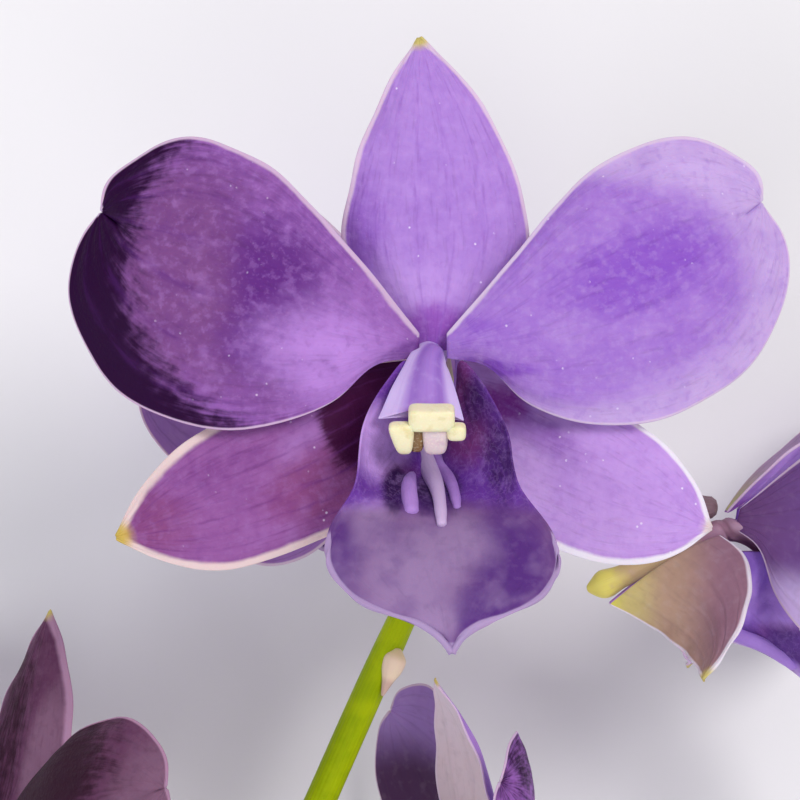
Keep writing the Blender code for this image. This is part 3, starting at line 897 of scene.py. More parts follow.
def hold(thing: bpy.types.Object, name: str, values: np.ndarray | float) -> None:
    """Let the piece hold a value at each of its points.

    Args:
        thing: The piece.
        name: The attribute's name.
        values: One value for all points, or one for each.
    """
    held = np.broadcast_to(values, len(thing.data.vertices)).astype(np.float32)
    thing.data.attributes.new(name, "FLOAT", "POINT").data.foreach_set("value", held)


def note(sheet: bpy.types.Object, notes: dict[str, np.ndarray]) -> None:
    """Let a laid grid hold values.

    Args:
        sheet: The laid grid.
        notes: The values by their attribute's name, as rows and columns.
    """
    cells = cells_of(sheet)
    for name, values in notes.items():
        hold(sheet, name, values[cells])


def thicken(sheet: bpy.types.Object, full: np.ndarray, thickness: float, least: float) -> None:
    """Give a laid grid a thickness, and round it. Its second finish goes to its back.

    Args:
        sheet: The laid grid.
        full: Where it has its full thickness, from 0 to 1, as rows and columns.
        thickness: The full thickness in millimetres.
        least: The share of it that is left where it is thinnest.
    """
    group = sheet.vertex_groups.new(name="body")
    for index, weight in enumerate(full[cells_of(sheet)]):
        group.add([index], float(weight), "REPLACE")
    shell = sheet.modifiers.new("thickness", "SOLIDIFY")
    shell.thickness = thickness * MM
    shell.offset = 0.0
    shell.vertex_group = group.name
    shell.thickness_vertex_group = least
    shell.material_offset = 1
    rounded(sheet)


def rounded(thing: bpy.types.Object, levels: int = 1) -> None:
    """Give the piece a Subdivision Surface of so many levels."""
    soft = thing.modifiers.new("soften", "SUBSURF")
    soft.levels = soft.render_levels = levels


def close_up(thing: bpy.types.Object) -> None:
    """Merge the doubles of a wrapped grid, and turn its faces outwards.

    Args:
        thing: The wrapped grid.
    """
    pick(thing)
    bpy.ops.object.mode_set(mode="EDIT")
    bpy.ops.mesh.select_all(action="SELECT")
    bpy.ops.mesh.remove_doubles(threshold=0.002 * MM)
    bpy.ops.mesh.normals_make_consistent(inside=False)
    bpy.ops.object.mode_set(mode="OBJECT")


def dress(thing: bpy.types.Object, *finishes: str) -> None:
    """Give the piece its finishes, apply its modifiers in their order, and smooth its faces.

    Args:
        thing: The piece.
        finishes: The names of its finishes, in the order of its slots.
    """
    for finish in finishes:
        thing.data.materials.append(bpy.data.materials[finish])
    pick(thing)
    for modifier in list(thing.modifiers):
        bpy.ops.object.modifier_apply(modifier=modifier.name)
    bpy.ops.object.shade_smooth()


def join(thing: bpy.types.Object, extras: list[bpy.types.Object]) -> None:
    """Make the extras part of the piece."""
    pick(thing, *extras)
    bpy.ops.object.join()


def hand_in(thing: bpy.types.Object, node: str) -> None:
    """Let the finished piece stand for its node.

    Args:
        thing: The piece.
        node: The CAD node that it replaces.
    """
    for key in GRID_KEYS:
        if key in thing.data.attributes:
            thing.data.attributes.remove(thing.data.attributes[key])
    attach(thing, BODY)
    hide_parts(node)
    LOG.info("%s: %d faces", thing.name, len(thing.data.polygons))


@dataclass(frozen=True)
class Relief:
    """How a blade's surface stands off its smooth sheet."""

    seed: float
    groove: float = 0.35
    groove_width: float = 0.09
    ribs: int = 5
    rib_height: float = 0.05
    ripple: float = 0.2
    ripples: float = 4.5
    swell: float = 0.3
    swell_size: float = 7.0
    fold: float = 0.0
    fold_width: float = 0.13

    def height(self, places: np.ndarray, down: np.ndarray, across: np.ndarray) -> np.ndarray:
        """Return how far each place is raised.

        Args:
            places: The smooth sheet.
            down: The share of the way to the tip, by row.
            across: The place across, from 1 to -1, by column.

        Returns:
            Heights in the same grid.
        """
        down, across = down[:, None], across[None, :]
        groove = self.groove * np.exp(-(across / self.groove_width) ** 2) * (1.0 - 0.7 * down)
        ribs = self.rib_height * np.cos(2 * math.pi * self.ribs * across)
        swells = self.swell * swell(places, self.swell_size, self.seed)
        phase = self.seed * 2.4 + np.sign(across) * 1.3
        ripple = self.ripple * np.abs(across) ** 3 * np.sin(2 * math.pi * self.ripples * down + phase)
        fold = self.fold * np.exp(-(across / self.fold_width) ** 2)
        return ((ribs + swells - groove) * smooth(down, 0.04, 0.25) + ripple * smooth(down, 0.2, 0.45)
                - fold * smooth(down, 0.8, 1.0))


Widths = tuple[tuple[float, float], ...]


@dataclass(frozen=True)
class Rim:
    """How wide a blade's pale margins are, by the share of the way to its tip."""

    left: Widths = ((0.0, 0.1), (0.25, 0.3), (1.0, 0.3))
    right: Widths = ((0.0, 0.1), (0.25, 0.3), (1.0, 0.3))

    def reach(self, places: np.ndarray, shares: np.ndarray) -> tuple[np.ndarray, np.ndarray]:
        """Return how far in from the margins each place is.

        Args:
            places: The sheet's grid.
            shares: The share of the way to the tip, by row.

        Returns:
            The distances in margin widths and in millimetres.
        """
        near, far = side_distances(places)
        widths = [np.interp(shares, *zip(*side))[:, None] for side in (self.right, self.left)]
        return np.minimum(near / widths[0], far / widths[1]), np.minimum(near, far)


def crowded(rows: int) -> np.ndarray:
    """Return the shares of the way to a tip, closer together towards it, and just short of it."""
    return (1.0 - np.linspace(1.0, 0.0, rows + 1) ** TIP_CROWDING) * TIP_SHARE


@dataclass(frozen=True)
class Blade:
    """One sepal or petal: a thin sheet between its margins and its midrib."""

    part: str
    outline: Outline
    bend: Bend
    relief: Relief
    rim: Rim
    patches: Patches
    face: str
    back: str
    slot: str
    tip: float = 0.0
    rows: int = 46
    columns: int = 30
    thickness: float = 0.62
    margin_share: float = 0.4

    def _sheet(self, bend: Bend, shares: np.ndarray, across: np.ndarray) -> np.ndarray:
        """Return the smooth sheet where a bend takes it.

        Args:
            bend: The bend.
            shares: The share of the way to the tip, by row.
            across: The place across, from 1 to -1, by column.

        Returns:
            The sheet's grid.
        """
        curves = (self.outline.left, self.outline.middle, self.outline.right)
        left, middle, right = (along(bend.of(curve), shares)[:, None] for curve in curves)
        at = across[None, :, None]
        return middle + at * (right - left) / 2 + at ** 2 * ((left + right) / 2 - middle)

    def build(self, bloom: "Bloom") -> None:
        """Lay the sheet, give it its thickness and hand it in.

        Args:
            bloom: The bloom that it grows from.
        """
        shares = crowded(bloom.fine(self.rows))
        even = np.linspace(1.0, -1.0, bloom.fine(self.columns) + 1)
        across = (even + np.sin(even * math.pi / 2)) / 2
        still, places = (self._sheet(bend, shares, across) for bend in (Bend(), self.bend))
        height = self.relief.height(places, shares, across)
        rim, margin = self.rim.reach(places, shares)
        from_tip = np.linalg.norm(still - along(self.outline.middle, shares[-1:])[0], axis=-1)
        sheet = laid_grid(f"{bloom.name}_{self.part}_blade", raised(places, height), bloom.matrix())
        note(sheet, {"rim": rim, "depth": still[..., 2], "down": np.broadcast_to(shares[:, None], rim.shape),
                     "tip": TIP_TINT * smooth(from_tip, self.tip * 1.3 + 0.01, self.tip * 0.5)})
        note(sheet, tones_of(still, self.patches))
        thicken(sheet, smooth(margin, 0.0, 2.2), self.thickness * bloom.scale, self.margin_share)
        dress(sheet, self.face, self.back)
        hand_in(sheet, f"{bloom.name}_{self.part}")


LIP_FLOOR = ((0.0, -8.0, -7.3), (0.0, -9.6, -4.4), (0.0, -12.0, -1.0), (0.0, -13.9, 3.0),
             (0.0, -16.6, 7.2), (0.0, -20.4, 10.6), (0.0, -24.2, 12.6), (0.0, -26.9, 13.0))
LIP_MARGIN = ((1.2, -7.6, -7.2), (2.2, -6.2, -4.0), (2.7, -1.4, 1.5), (4.5, -3.7, 3.0),
              (6.4, -7.6, 4.4), (7.1, -12.4, 6.4), (9.6, -16.2, 8.2), (10.2, -18.9, 9.3),
              (8.5, -21.9, 10.8), (5.0, -23.7, 11.9), (2.2, -24.6, 12.4), (1.15, -25.3, 12.7),
              (0.0, -26.9, 13.0))
LIP_TOP = -1.2
LIP_APEX_SWING = 0.09
LIP_APEX_SWING_FROM = -10.0
# The first two FLUSH patches, inside the right side lobe and in the recess beside the column, are maroon that
# is partly painted shade. The last LIGHT patch is painted light on the left side lobe's steep wall. The SHADE
# patches are painted shade in the hollows beside the keels, inside the right side lobe and in the throat.
LIP_PATCHES = {
    Tone.FLUSH: [Patch(3.0, -8.2, 2.4, 2.8, 0.9, blur=0.8), Patch(1.9, -3.2, 1.7, 3.2, blur=0.7),
                 Patch(-3.0, -11.7, 1.8, 1.3, 0.6, blur=0.8)],
    Tone.LIGHT: [Patch(-2.2, -20.6, 4.6, 4.4, 0.85, blur=0.9), Patch(2.2, -17.6, 3.4, 2.2, 0.7, blur=0.8),
                 Patch(0.0, -24.6, 1.5, 2.2, 0.9, blur=0.8), Patch(-5.6, -15.8, 1.8, 2.0, 0.5, blur=0.8),
                 Patch(-4.6, -8.7, 2.4, 3.4, blur=0.5)],
    Tone.DEEP: [Patch(6.6, -19.4, 3.4, 4.4, blur=0.8), Patch(3.4, -23.4, 2.4, 1.9, 1.0, 20.0, 0.6),
                Patch(-8.0, -18.6, 2.0, 3.4, 0.8, blur=0.8), Patch(-6.3, -6.4, 1.0, 4.0, 0.9)],
    Tone.SHADE: [Patch(-3.5, -13.1, 1.2, 2.1), Patch(-0.6, -13.4, 1.1, 1.9), Patch(1.7, -13.4, 1.0, 1.9, 0.7),
                 Patch(6.0, -9.8, 1.5, 4.6, 0.6), Patch(3.9, -4.6, 1.1, 2.4, 0.6),
                 Patch(-6.4, -2.6, 1.6, 1.6, 0.7)],
}


@dataclass(frozen=True)
class Keel:
    """One of the lip's raised keels: where it stands on the floor, how it runs and how pale it is."""

    start: float
    bow: float
    end: float
    last: float
    thin: float
    thick: float
    pale: float
    first: float = 0.15
    spots: int = 30
    sides: int = 16

    def path(self, spots: int) -> np.ndarray:
        """Return the middle line.

        Args:
            spots: How many places it has.

        Returns:
            One row for each place, with the radius last.
        """
        t = np.linspace(0.0, 1.0, spots)[:, None]
        shares = self.first + (self.last - self.first) * t[:, 0]
        floor = along(LIP_FLOOR, shares)
        ahead = along(LIP_FLOOR, shares + 0.01) - floor
        ahead /= np.linalg.norm(ahead, axis=1, keepdims=True)
        up = np.column_stack([np.zeros(spots), ahead[:, 2], -ahead[:, 1]])
        line = floor + up * (0.15 + 0.5 * np.sin(math.pi * t ** 1.3 * 0.85))
        line[:, :1] += self.start + self.bow * np.sin(math.pi * t) + (self.end - self.start) * t ** 1.3
        girth = self.thin + (self.thick - self.thin) * smooth(t, 0.1, 0.8) - 0.12 * smooth(t, 0.85, 1.0)
        return np.hstack([line, girth])

    def build(self, bloom: "Bloom", number: int) -> bpy.types.Object:
        """Build the keel as a round-ended ridge.

        Args:
            bloom: The bloom that its lip belongs to.
            number: Its number on the lip.

        Returns:
            The ridge.
        """
        path = self.path(bloom.fine(self.spots))
        ridge = tube(f"{bloom.name}_keel_{number}", path, bloom.fine(self.sides), bloom.matrix())
        for name, value in (("rim", 9.0), ("keel", self.pale), ("light", 0.5),
                            *((other, 0.0) for other in ("lobe", "shade", "flush", "deep"))):
            hold(ridge, name, value)
        dress(ridge, bloom.look.lip)
        return ridge


@dataclass(frozen=True)
class Lip:
    """The lip: a rolled-rimmed sheet round the column, with three keels on its floor."""

    width: float = 1.0
    rows: int = 96
    columns: int = 64
    thickness: float = 0.6
    margin_share: float = 0.35
    roll: float = 0.26
    ruffle: float = 0.2
    ruffles: int = 6
    crease: float = 0.14
    folds: float = 0.22
    swell: float = 0.3
    keels: tuple[Keel, ...] = (Keel(-1.6, -0.5, -1.95, 0.5, 0.75, 0.78, 0.3),
                               Keel(-0.9, 0.5, 0.7, 0.56, 1.0, 0.56, 0.95),
                               Keel(0.4, 0.4, 2.1, 0.48, 0.7, 0.5, 0.12))

    def _sheet(self, shares: np.ndarray, across: np.ndarray) -> np.ndarray:
        """Return the smooth sheet, which bends up from the floor to the margin at either side.

        Args:
            shares: The share of the way to the apex, by row.
            across: The place across, from 1 to -1, by column.

        Returns:
            The sheet's grid.
        """
        floor = along(LIP_FLOOR, shares)[:, None]
        edge = along(LIP_MARGIN, shares)[:, None]
        narrowing = 1.0 - self.width
        edge[..., 0] *= 1.0 - narrowing * np.clip((LIP_TOP - edge[..., 1]) / 2.2, 0.0, 1.0)
        edge[..., 1] = np.minimum(edge[..., 1], LIP_TOP - 5.0 * narrowing)
        mirror = np.ones((1, len(across), 3))
        mirror[0, :, 0] = np.sign(across)
        edge = edge * mirror
        corner = np.broadcast_to(floor, edge.shape).copy()
        corner[..., 0] = edge[..., 0]
        t = np.abs(across)[None, :, None]
        places = (1 - t) ** 2 * floor + 2 * t * (1 - t) * corner + t * t * edge
        places[..., 0] += LIP_APEX_SWING * np.maximum(0.0, LIP_APEX_SWING_FROM - places[..., 1])
        return places

    def build(self, bloom: "Bloom") -> None:
        """Lay the lip, raise its keels and hand it in.

        Args:
            bloom: The bloom that it belongs to.
        """
        shares = crowded(bloom.fine(self.rows))
        across = np.linspace(1.0, -1.0, bloom.fine(self.columns) + 1)
        places = self._sheet(shares, across)
        margin = np.minimum(*side_distances(places))
        down, wide = shares[:, None], across[None, :]
        low = -places[..., 1]
        lobe, outer = smooth(low, 12.5, 16.5), smooth(low, 15.0, 18.5)
        ruffle = self.ruffle * np.abs(wide) ** 4 * np.sin(2 * math.pi * self.ruffles * down + np.sign(wide))
        crease = self.crease * np.exp(-(wide / 0.07) ** 2) * smooth(down, 0.78, 0.92)
        roll = self.roll * np.exp(-((margin - 0.36) / 0.3) ** 2) * outer
        folds = self.folds * np.sin(4.0 * swell(places, 2.2, 5.0) - 9.0 * low) * (1.0 - lobe)
        folds = folds * smooth(np.abs(wide), 0.35, 0.6) * smooth(margin, 0.4, 1.6) * smooth(down, 0.1, 0.2)
        swells = self.swell * swell(places, 4.5, 3.0) * smooth(down, 0.1, 0.3)
        height = ruffle * outer * smooth(down, 0.93, 0.8) - crease + roll + folds + swells
        sheet = laid_grid(f"{bloom.name}_lip_sheet", raised(places, height), bloom.matrix())
        rolled = 0.05 + 0.52 * (outer + smooth(down, 0.95, 1.0))
        note(sheet, {"rim": margin / rolled + 1.6 * (1.0 - outer), "lobe": lobe, "keel": 0.0 * margin})
        note(sheet, tones_of(places, LIP_PATCHES))
        full = np.maximum(smooth(margin, 0.0, 2.0), outer)
        thicken(sheet, full, self.thickness * bloom.scale, self.margin_share)
        dress(sheet, bloom.look.lip, bloom.look.lip)
        join(sheet, [keel.build(bloom, number) for number, keel in enumerate(self.keels)])
        hand_in(sheet, f"{bloom.name}_lip")


def tube(name: str, path: np.ndarray, sides: int, matrix: Matrix,
         shape: Callable[[np.ndarray, np.ndarray], tuple[np.ndarray, ...]] | None = None,
         flat: Sequence[int] = ()) -> bpy.types.Object:
    """Wrap a grid round a path and close its ends.

    Args:
        name: The piece's name.
        path: The middle line's places, with the radius last.
        sides: How many columns go round.
        matrix: What turns places into the world's metres.
        shape: Gives the distances sideways, upwards and ahead, in radii, from the share and the angle.
        flat: The ends, 0 or -1, that are cut square rather than domed.

    Returns:
        The closed tube, with its chart in its UV map.
    """
    middle, radius = path[:, :3], path[:, 3]
    ahead = np.gradient(middle, axis=0)
    ahead /= np.linalg.norm(ahead, axis=1, keepdims=True)
    side = np.cross(ahead, np.array([0.0, 0.0, 1.0]))
    side[np.linalg.norm(side, axis=1) < 0.05] = np.array([1.0, 0.0, 0.0])
    side /= np.linalg.norm(side, axis=1, keepdims=True)
    kept = np.sign((side[1:] * side[:-1]).sum(axis=1) + 1e-9)
    side[:-1] *= np.cumprod(kept[::-1])[::-1, None]
    up = np.cross(side, ahead)
    share = np.linspace(0.0, 1.0, len(path))[:, None]
    angle = np.linspace(0.0, 2 * math.pi, sides + 1)[None, :]
    out, high, on = shape(share, angle) if shape else (np.cos(angle), np.sin(angle), 0.0)
    reach = np.stack([np.broadcast_to(value, (len(path), sides + 1)) for value in (out, high, on)], axis=-1)
    reach = reach * radius[:, None, None]
    axes = enumerate((side, up, ahead))
    body = middle[:, None] + sum(reach[..., k:k + 1] * axis[:, None] for k, axis in axes)
    first, last = (capped(body[end], middle[end], ahead[end] * sign * radius[end], end in flat)
                   for end, sign in ((0, -1.0), (-1, 1.0)))
    thing = laid_grid(name, np.concatenate([first[::-1], body, last]), matrix)
    close_up(thing)
    return thing


def capped(ring: np.ndarray, centre: np.ndarray, outward: np.ndarray, flat: bool) -> np.ndarray:
    """Return the rings that close one end of a tube.

    Args:
        ring: The tube's last ring.
        centre: Its middle.
        outward: The way out of the tube, as long as its radius.
        flat: Whether the end is cut square rather than domed.

    Returns:
        Three rings, the last of them closed to a point.
    """
    inward = np.array(FLAT_CAP if flat else DOMED_CAP)[:, None, None]
    rise = 0.0 * inward if flat else np.sin(inward * math.pi / 2) * DOME_HEIGHT
    keep = 1.0 - inward if flat else np.cos(inward * math.pi / 2)
    return centre + outward * rise + (ring - centre) * keep


COLUMN = ((0.0, -7.1, -15.4, 0.6), (0.0, -6.9, -14.6, 1.3), (0.0, -5.9, -12.2, 1.2),
          (0.0, -4.1, -8.4, 1.0), (0.0, -2.2, -4.4, 1.1), (0.0, -1.0, -1.4, 1.2),
          (-0.3, -1.6, 1.0, 1.15), (-0.45, -3.3, 3.1, 1.35), (-0.5, -5.1, 4.5, 1.5))


@dataclass(frozen=True)
class Column:
    """The column: a foot, a round back and two thin wings that spread beside its end."""

    rings: int = 72
    sides: int = 48
    wing_from: float = 0.62
    left_spread: float = 2.0
    right_spread: float = 1.2
    forward: float = 0.9

    def section(self, share: np.ndarray, angle: np.ndarray) -> tuple[np.ndarray, ...]:
        """Return the section's distances.

        Args:
            share: The share of the way to the column's end.
            angle: The angle round the column, from its left side.

        Returns:
            The distances sideways, upwards and ahead, in radii.
        """
        spread = np.clip((share - self.wing_from) / (1.0 - self.wing_from), 0.0, 1.0)
        side = np.abs(np.cos(angle))
        wing = np.where(np.cos(angle) > 0, self.left_spread, self.right_spread) * side ** 1.6
        thin = 1.0 - 0.75 * smooth(spread, 0.0, 0.6) * side ** 2
        high = np.sin(angle) * thin * (1.0 - 0.4 * spread ** 3) - 0.3 * spread * side ** 4
        ahead = spread ** 2 * (self.forward + 0.35 * side ** 2)
        return np.cos(angle) * (1.0 + wing * spread), high, ahead

    def build(self, bloom: "Bloom") -> None:
        """Wrap the column, mark its wings and the painted shade in its creases, and hand it in.

        Args:
            bloom: The bloom that it belongs to.
        """
        path = along(COLUMN, np.linspace(0.0, 1.0, bloom.fine(self.rings)))
        sides = 2 * bloom.fine(self.sides // 2)
        column = tube(f"{bloom.name}_column_body", path, sides, bloom.matrix(), self.section, flat=(-1,))
        row, spoke = cells_of(column)
        side = np.abs(np.cos(spoke / spoke.max() * 2 * math.pi))
        late = smooth(row / row.max(), 0.55, 0.75)
        hold(column, "light", smooth(side, 0.62, 0.84) * late)
        # painted shade in the creases between the back and the wings
        hold(column, "shade", np.exp(-((side - 0.52) / 0.14) ** 2) * late * 0.6)
        rounded(column)
        dress(column, bloom.look.column)
        hand_in(column, f"{bloom.name}_column")


@dataclass(frozen=True)
class Lump:
    """A rounded block of the anther cap."""

    size: Point
    place: Point
    dip: float = 0.0
    taper: float = 0.0
    lean: float = 0.0
    cuts: int = 1
    finish: str = "waxy_anther_cap"
    tilt: float = 28.0

    def build(self, name: str, matrix: Matrix) -> bpy.types.Object:
        """Add a cube, cut it finely, shape it and round it.

        Args:
            name: The lump's name.
            matrix: The bloom's matrix.

        Returns:
            The lump.
        """
        pick()
        bpy.ops.mesh.primitive_cube_add(size=1.0)
        lump = bpy.context.object
        lump.name = lump.data.name = name
        bpy.ops.object.mode_set(mode="EDIT")
        bpy.ops.mesh.select_all(action="SELECT")
        bpy.ops.mesh.subdivide(number_cuts=self.cuts)
        bpy.ops.object.mode_set(mode="OBJECT")
        tilt = Matrix.Rotation(math.radians(self.tilt), 4, "X")
        for vert in lump.data.vertices:
            x, y, z = vert.co
            narrow = 1.0 - self.taper * (0.5 - y)
            aside = x * narrow * self.size[0] + self.lean * (0.5 - y)
            place = Vector((aside, y * self.size[1], z * self.size[2]))
            if y > 0.0:
                place.y -= self.dip * math.exp(-(x / 0.16) ** 2)
            place.z += 0.12 * noise.noise(Vector((x * 3, y * 3, z * 3 + self.size[0])))
            vert.co = matrix @ (tilt @ place + Vector(self.place))
        rounded(lump, 2)
        dress(lump, self.finish)
        return lump


@dataclass(frozen=True)
class AntherCap:
    """The anther cap: a cream block, a tooth at either side, the rosy beak and a brown hollow under it."""

    lumps: tuple[Lump, ...] = (
        Lump((4.1, 2.2, 2.0), (-0.2, -6.5, 6.7), dip=0.3, cuts=2),
        Lump((2.6, 3.0, 1.5), (-2.95, -8.3, 6.2), taper=0.5, lean=0.4),
        Lump((1.7, 1.5, 1.4), (2.0, -7.75, 6.4)),
        Lump((2.5, 3.0, 1.4), (0.15, -8.35, 5.7), taper=0.2, finish="rosy_beak"),
        Lump((1.2, 2.6, 1.2), (-1.5, -8.3, 5.5), finish="brown_hollow"))

    def build(self, bloom: "Bloom") -> None:
        """Build the lumps as one piece and hand it in.

        Args:
            bloom: The bloom that it belongs to.
        """
        cap, *others = [lump.build(f"{bloom.name}_cap_{number}", bloom.matrix())
                        for number, lump in enumerate(self.lumps)]
        join(cap, others)
        cap.name = cap.data.name = f"{bloom.name}_cap_block"
        hand_in(cap, f"{bloom.name}_anther_cap")


@dataclass(frozen=True)
class Pedicel:
    """The slim stalk of one bloom, with its ovary at the bloom's end."""

    bends: tuple[Point, ...]
    ovary_end: Point = (0.0, 1.3, -2.8)
    ovary_radius: float = 1.45
    radius: float = 0.9
    taper: float = 1.4
    stand: float = 1.8
    clearance: float = 0.3
    knots: int = 13
    rings: int = 60
    sides: int = 24

    def path(self, bloom: "Bloom", stalk: "Stalk") -> np.ndarray:
        """Return the middle line from the bloom to just beside its node on the stalk.

        Args:
            bloom: The bloom that it carries.
            stalk: The stalk that it grows from.

        Returns:
            Places in the world's millimetres, with the radius last.
        """
        matrix = bloom.matrix()
        line = [matrix @ Vector(knot) / MM for knot in (self.ovary_end, *self.bends)]
        foot, beyond = along(stalk.line(), [bloom.node, bloom.node + 0.005])
        forward = Vector(beyond[:3] - foot[:3]).normalized()
        outward = line[-1] - Vector(foot[:3])
        outward = (outward - forward * outward.dot(forward)).normalized()
        for stand in (self.stand, 0.0):
            line.append(Vector(foot[:3]) + outward * (foot[3] + self.clearance + stand))
        coarse = along([tuple(point) for point in line], np.linspace(0.0, 1.0, self.knots))
        shares = np.linspace(0.0, 1.0, self.rings)
        girth = np.maximum(self.radius, self.ovary_radius * (1.0 - self.taper * shares ** 2)) * bloom.scale
        girth *= 0.74 + 0.26 * smooth(shares, 0.0, 0.08)
        girth += 0.25 * bloom.scale * smooth(shares, 0.93, 1.0)
        return np.column_stack([along(coarse, shares), girth])

    def section(self, share: np.ndarray, angle: np.ndarray) -> tuple[np.ndarray, ...]:
        """Return a section with six shallow ribs at the ovary, in radii."""
        rib = 1.0 + 0.07 * np.cos(6 * angle) * smooth(share, 0.75, 0.4)
        return np.cos(angle) * rib, np.sin(angle) * rib, 0.0 * rib

    def build(self, bloom: "Bloom", stalk: "Stalk") -> None:
        """Wrap the pedicel and hand it in.

        Args:
            bloom: The bloom that it carries.
            stalk: The stalk that it grows from.
        """
        path = self.path(bloom, stalk)
        thing = tube(f"{bloom.name}_pedicel_stalk", path, self.sides, Matrix.Scale(MM, 4), self.section)
        hold(thing, "accent", 0.0)
        dress(thing, bloom.look.pedicel)
        hand_in(thing, f"{bloom.name}_pedicel")


@dataclass(frozen=True)
class Drop:
    """A drop-shaped bract or scar, half sunk in the stalk's side."""

    start: float
    length: float
    width: float
    rise: float
    side: Point
    accent: float = 0.0
    finish: str = "stalk_skin"
    profile: tuple[Point, ...] = ((0.0, 0.0, 0.0, 0.55), (0.12, 0.0, 0.0, 0.96), (0.35, 0.0, 0.0, 1.0),
                                  (0.7, 0.0, 0.0, 0.5), (1.0, 0.0, 0.0, 0.15))

    def build(self, name: str, line: list[Point]) -> bpy.types.Object:
        """Build the drop on the stalk.

        Args:
            name: The drop's name.
            line: The stalk's points.

        Returns:
            The drop.
        """
        foot, tip = along(line, [self.start, self.start + self.length])
        t = np.linspace(0.0, 1.0, 24)[:, None]
        away = np.array(Vector(self.side).normalized())
        middle = foot[:3] + (tip[:3] - foot[:3]) * t + away * (foot[3] + self.rise * t)
        girth = along(self.profile, t[:, 0])[:, 3:] * self.width
        thing = tube(name, np.hstack([middle, girth]), 20, Matrix.Scale(MM, 4))
        hold(thing, "accent", self.accent)
        dress(thing, self.finish)
        return thing


@dataclass(frozen=True)
class Stalk:
    """The stem: a long curved stalk with nodes, bracts, a pale scar and a cut end."""

    points: tuple[Point, ...] = (
        (-56.0, -244.0, 1.99, 2.1), (-54.5, -215.0, 4.4, 2.0), (-50.5, -180.0, 8.0, 1.9),
        (-43.0, -142.0, 12.6, 1.8), (-31.2, -100.0, 18.2, 1.7), (-20.0, -66.0, 22.4, 1.6),
        (-10.8, -44.6, 24.0, 1.55), (-3.0, -27.2, 24.4, 1.4), (0.6, -19.6, 24.2, 1.1),
        (1.5, -17.4, 24.0, 0.5))
    nodes: tuple[float, ...] = (0.17, 0.41, 0.614, 0.81)
    node_height: float = 0.27
    node_length: float = 0.004
    rings: int = 420
    sides: int = 36
    drops: tuple[Drop, ...] = (Drop(0.9435, -0.019, 1.1, 0.6, (0.6, -0.25, 0.76), finish="stalk_scar"),
                               Drop(0.398, 0.024, 1.0, 0.2, (0.9, -0.25, 0.35), 0.3),
                               Drop(0.608, 0.020, 0.9, 0.2, (-0.85, 0.25, 0.4), 0.3))

    def line(self) -> list[Point]:
        """Return the stalk's points in the world's millimetres, with the radius last."""
        return [(x + FRONT_PLACE[0], y + FRONT_PLACE[1], z, r) for x, y, z, r in self.points]

    def section(self, share: np.ndarray, angle: np.ndarray) -> tuple[np.ndarray, ...]:
        """Return a section with very shallow ribs."""
        rib = 1.0 + 0.012 * np.cos(11 * angle + 9.0 * share)
        return np.cos(angle) * rib, np.sin(angle) * rib, 0.0 * rib

    def build(self) -> None:
        """Wrap the stalk, grow its drops and hand it in."""
        shares = np.linspace(0.0, 1.0, self.rings)
        path = along(self.line(), shares)
        for spot in self.nodes:
            path[:, 3] += self.node_height * np.exp(-((shares - spot) / self.node_length) ** 2)
        stalk = tube("stem_stalk", path, self.sides, Matrix.Scale(MM, 4), self.section, flat=(0,))
        hold(stalk, "accent", 0.0)
        dress(stalk, "stalk_skin")
        join(stalk, [drop.build(f"stem_drop_{number}", self.line()) for number, drop in enumerate(self.drops)])
        hand_in(stalk, "stem")


class Openness(Enum):
    """How far a bloom's sepals have opened."""

    OPEN = "open"
    HALF_OPEN = "half open"


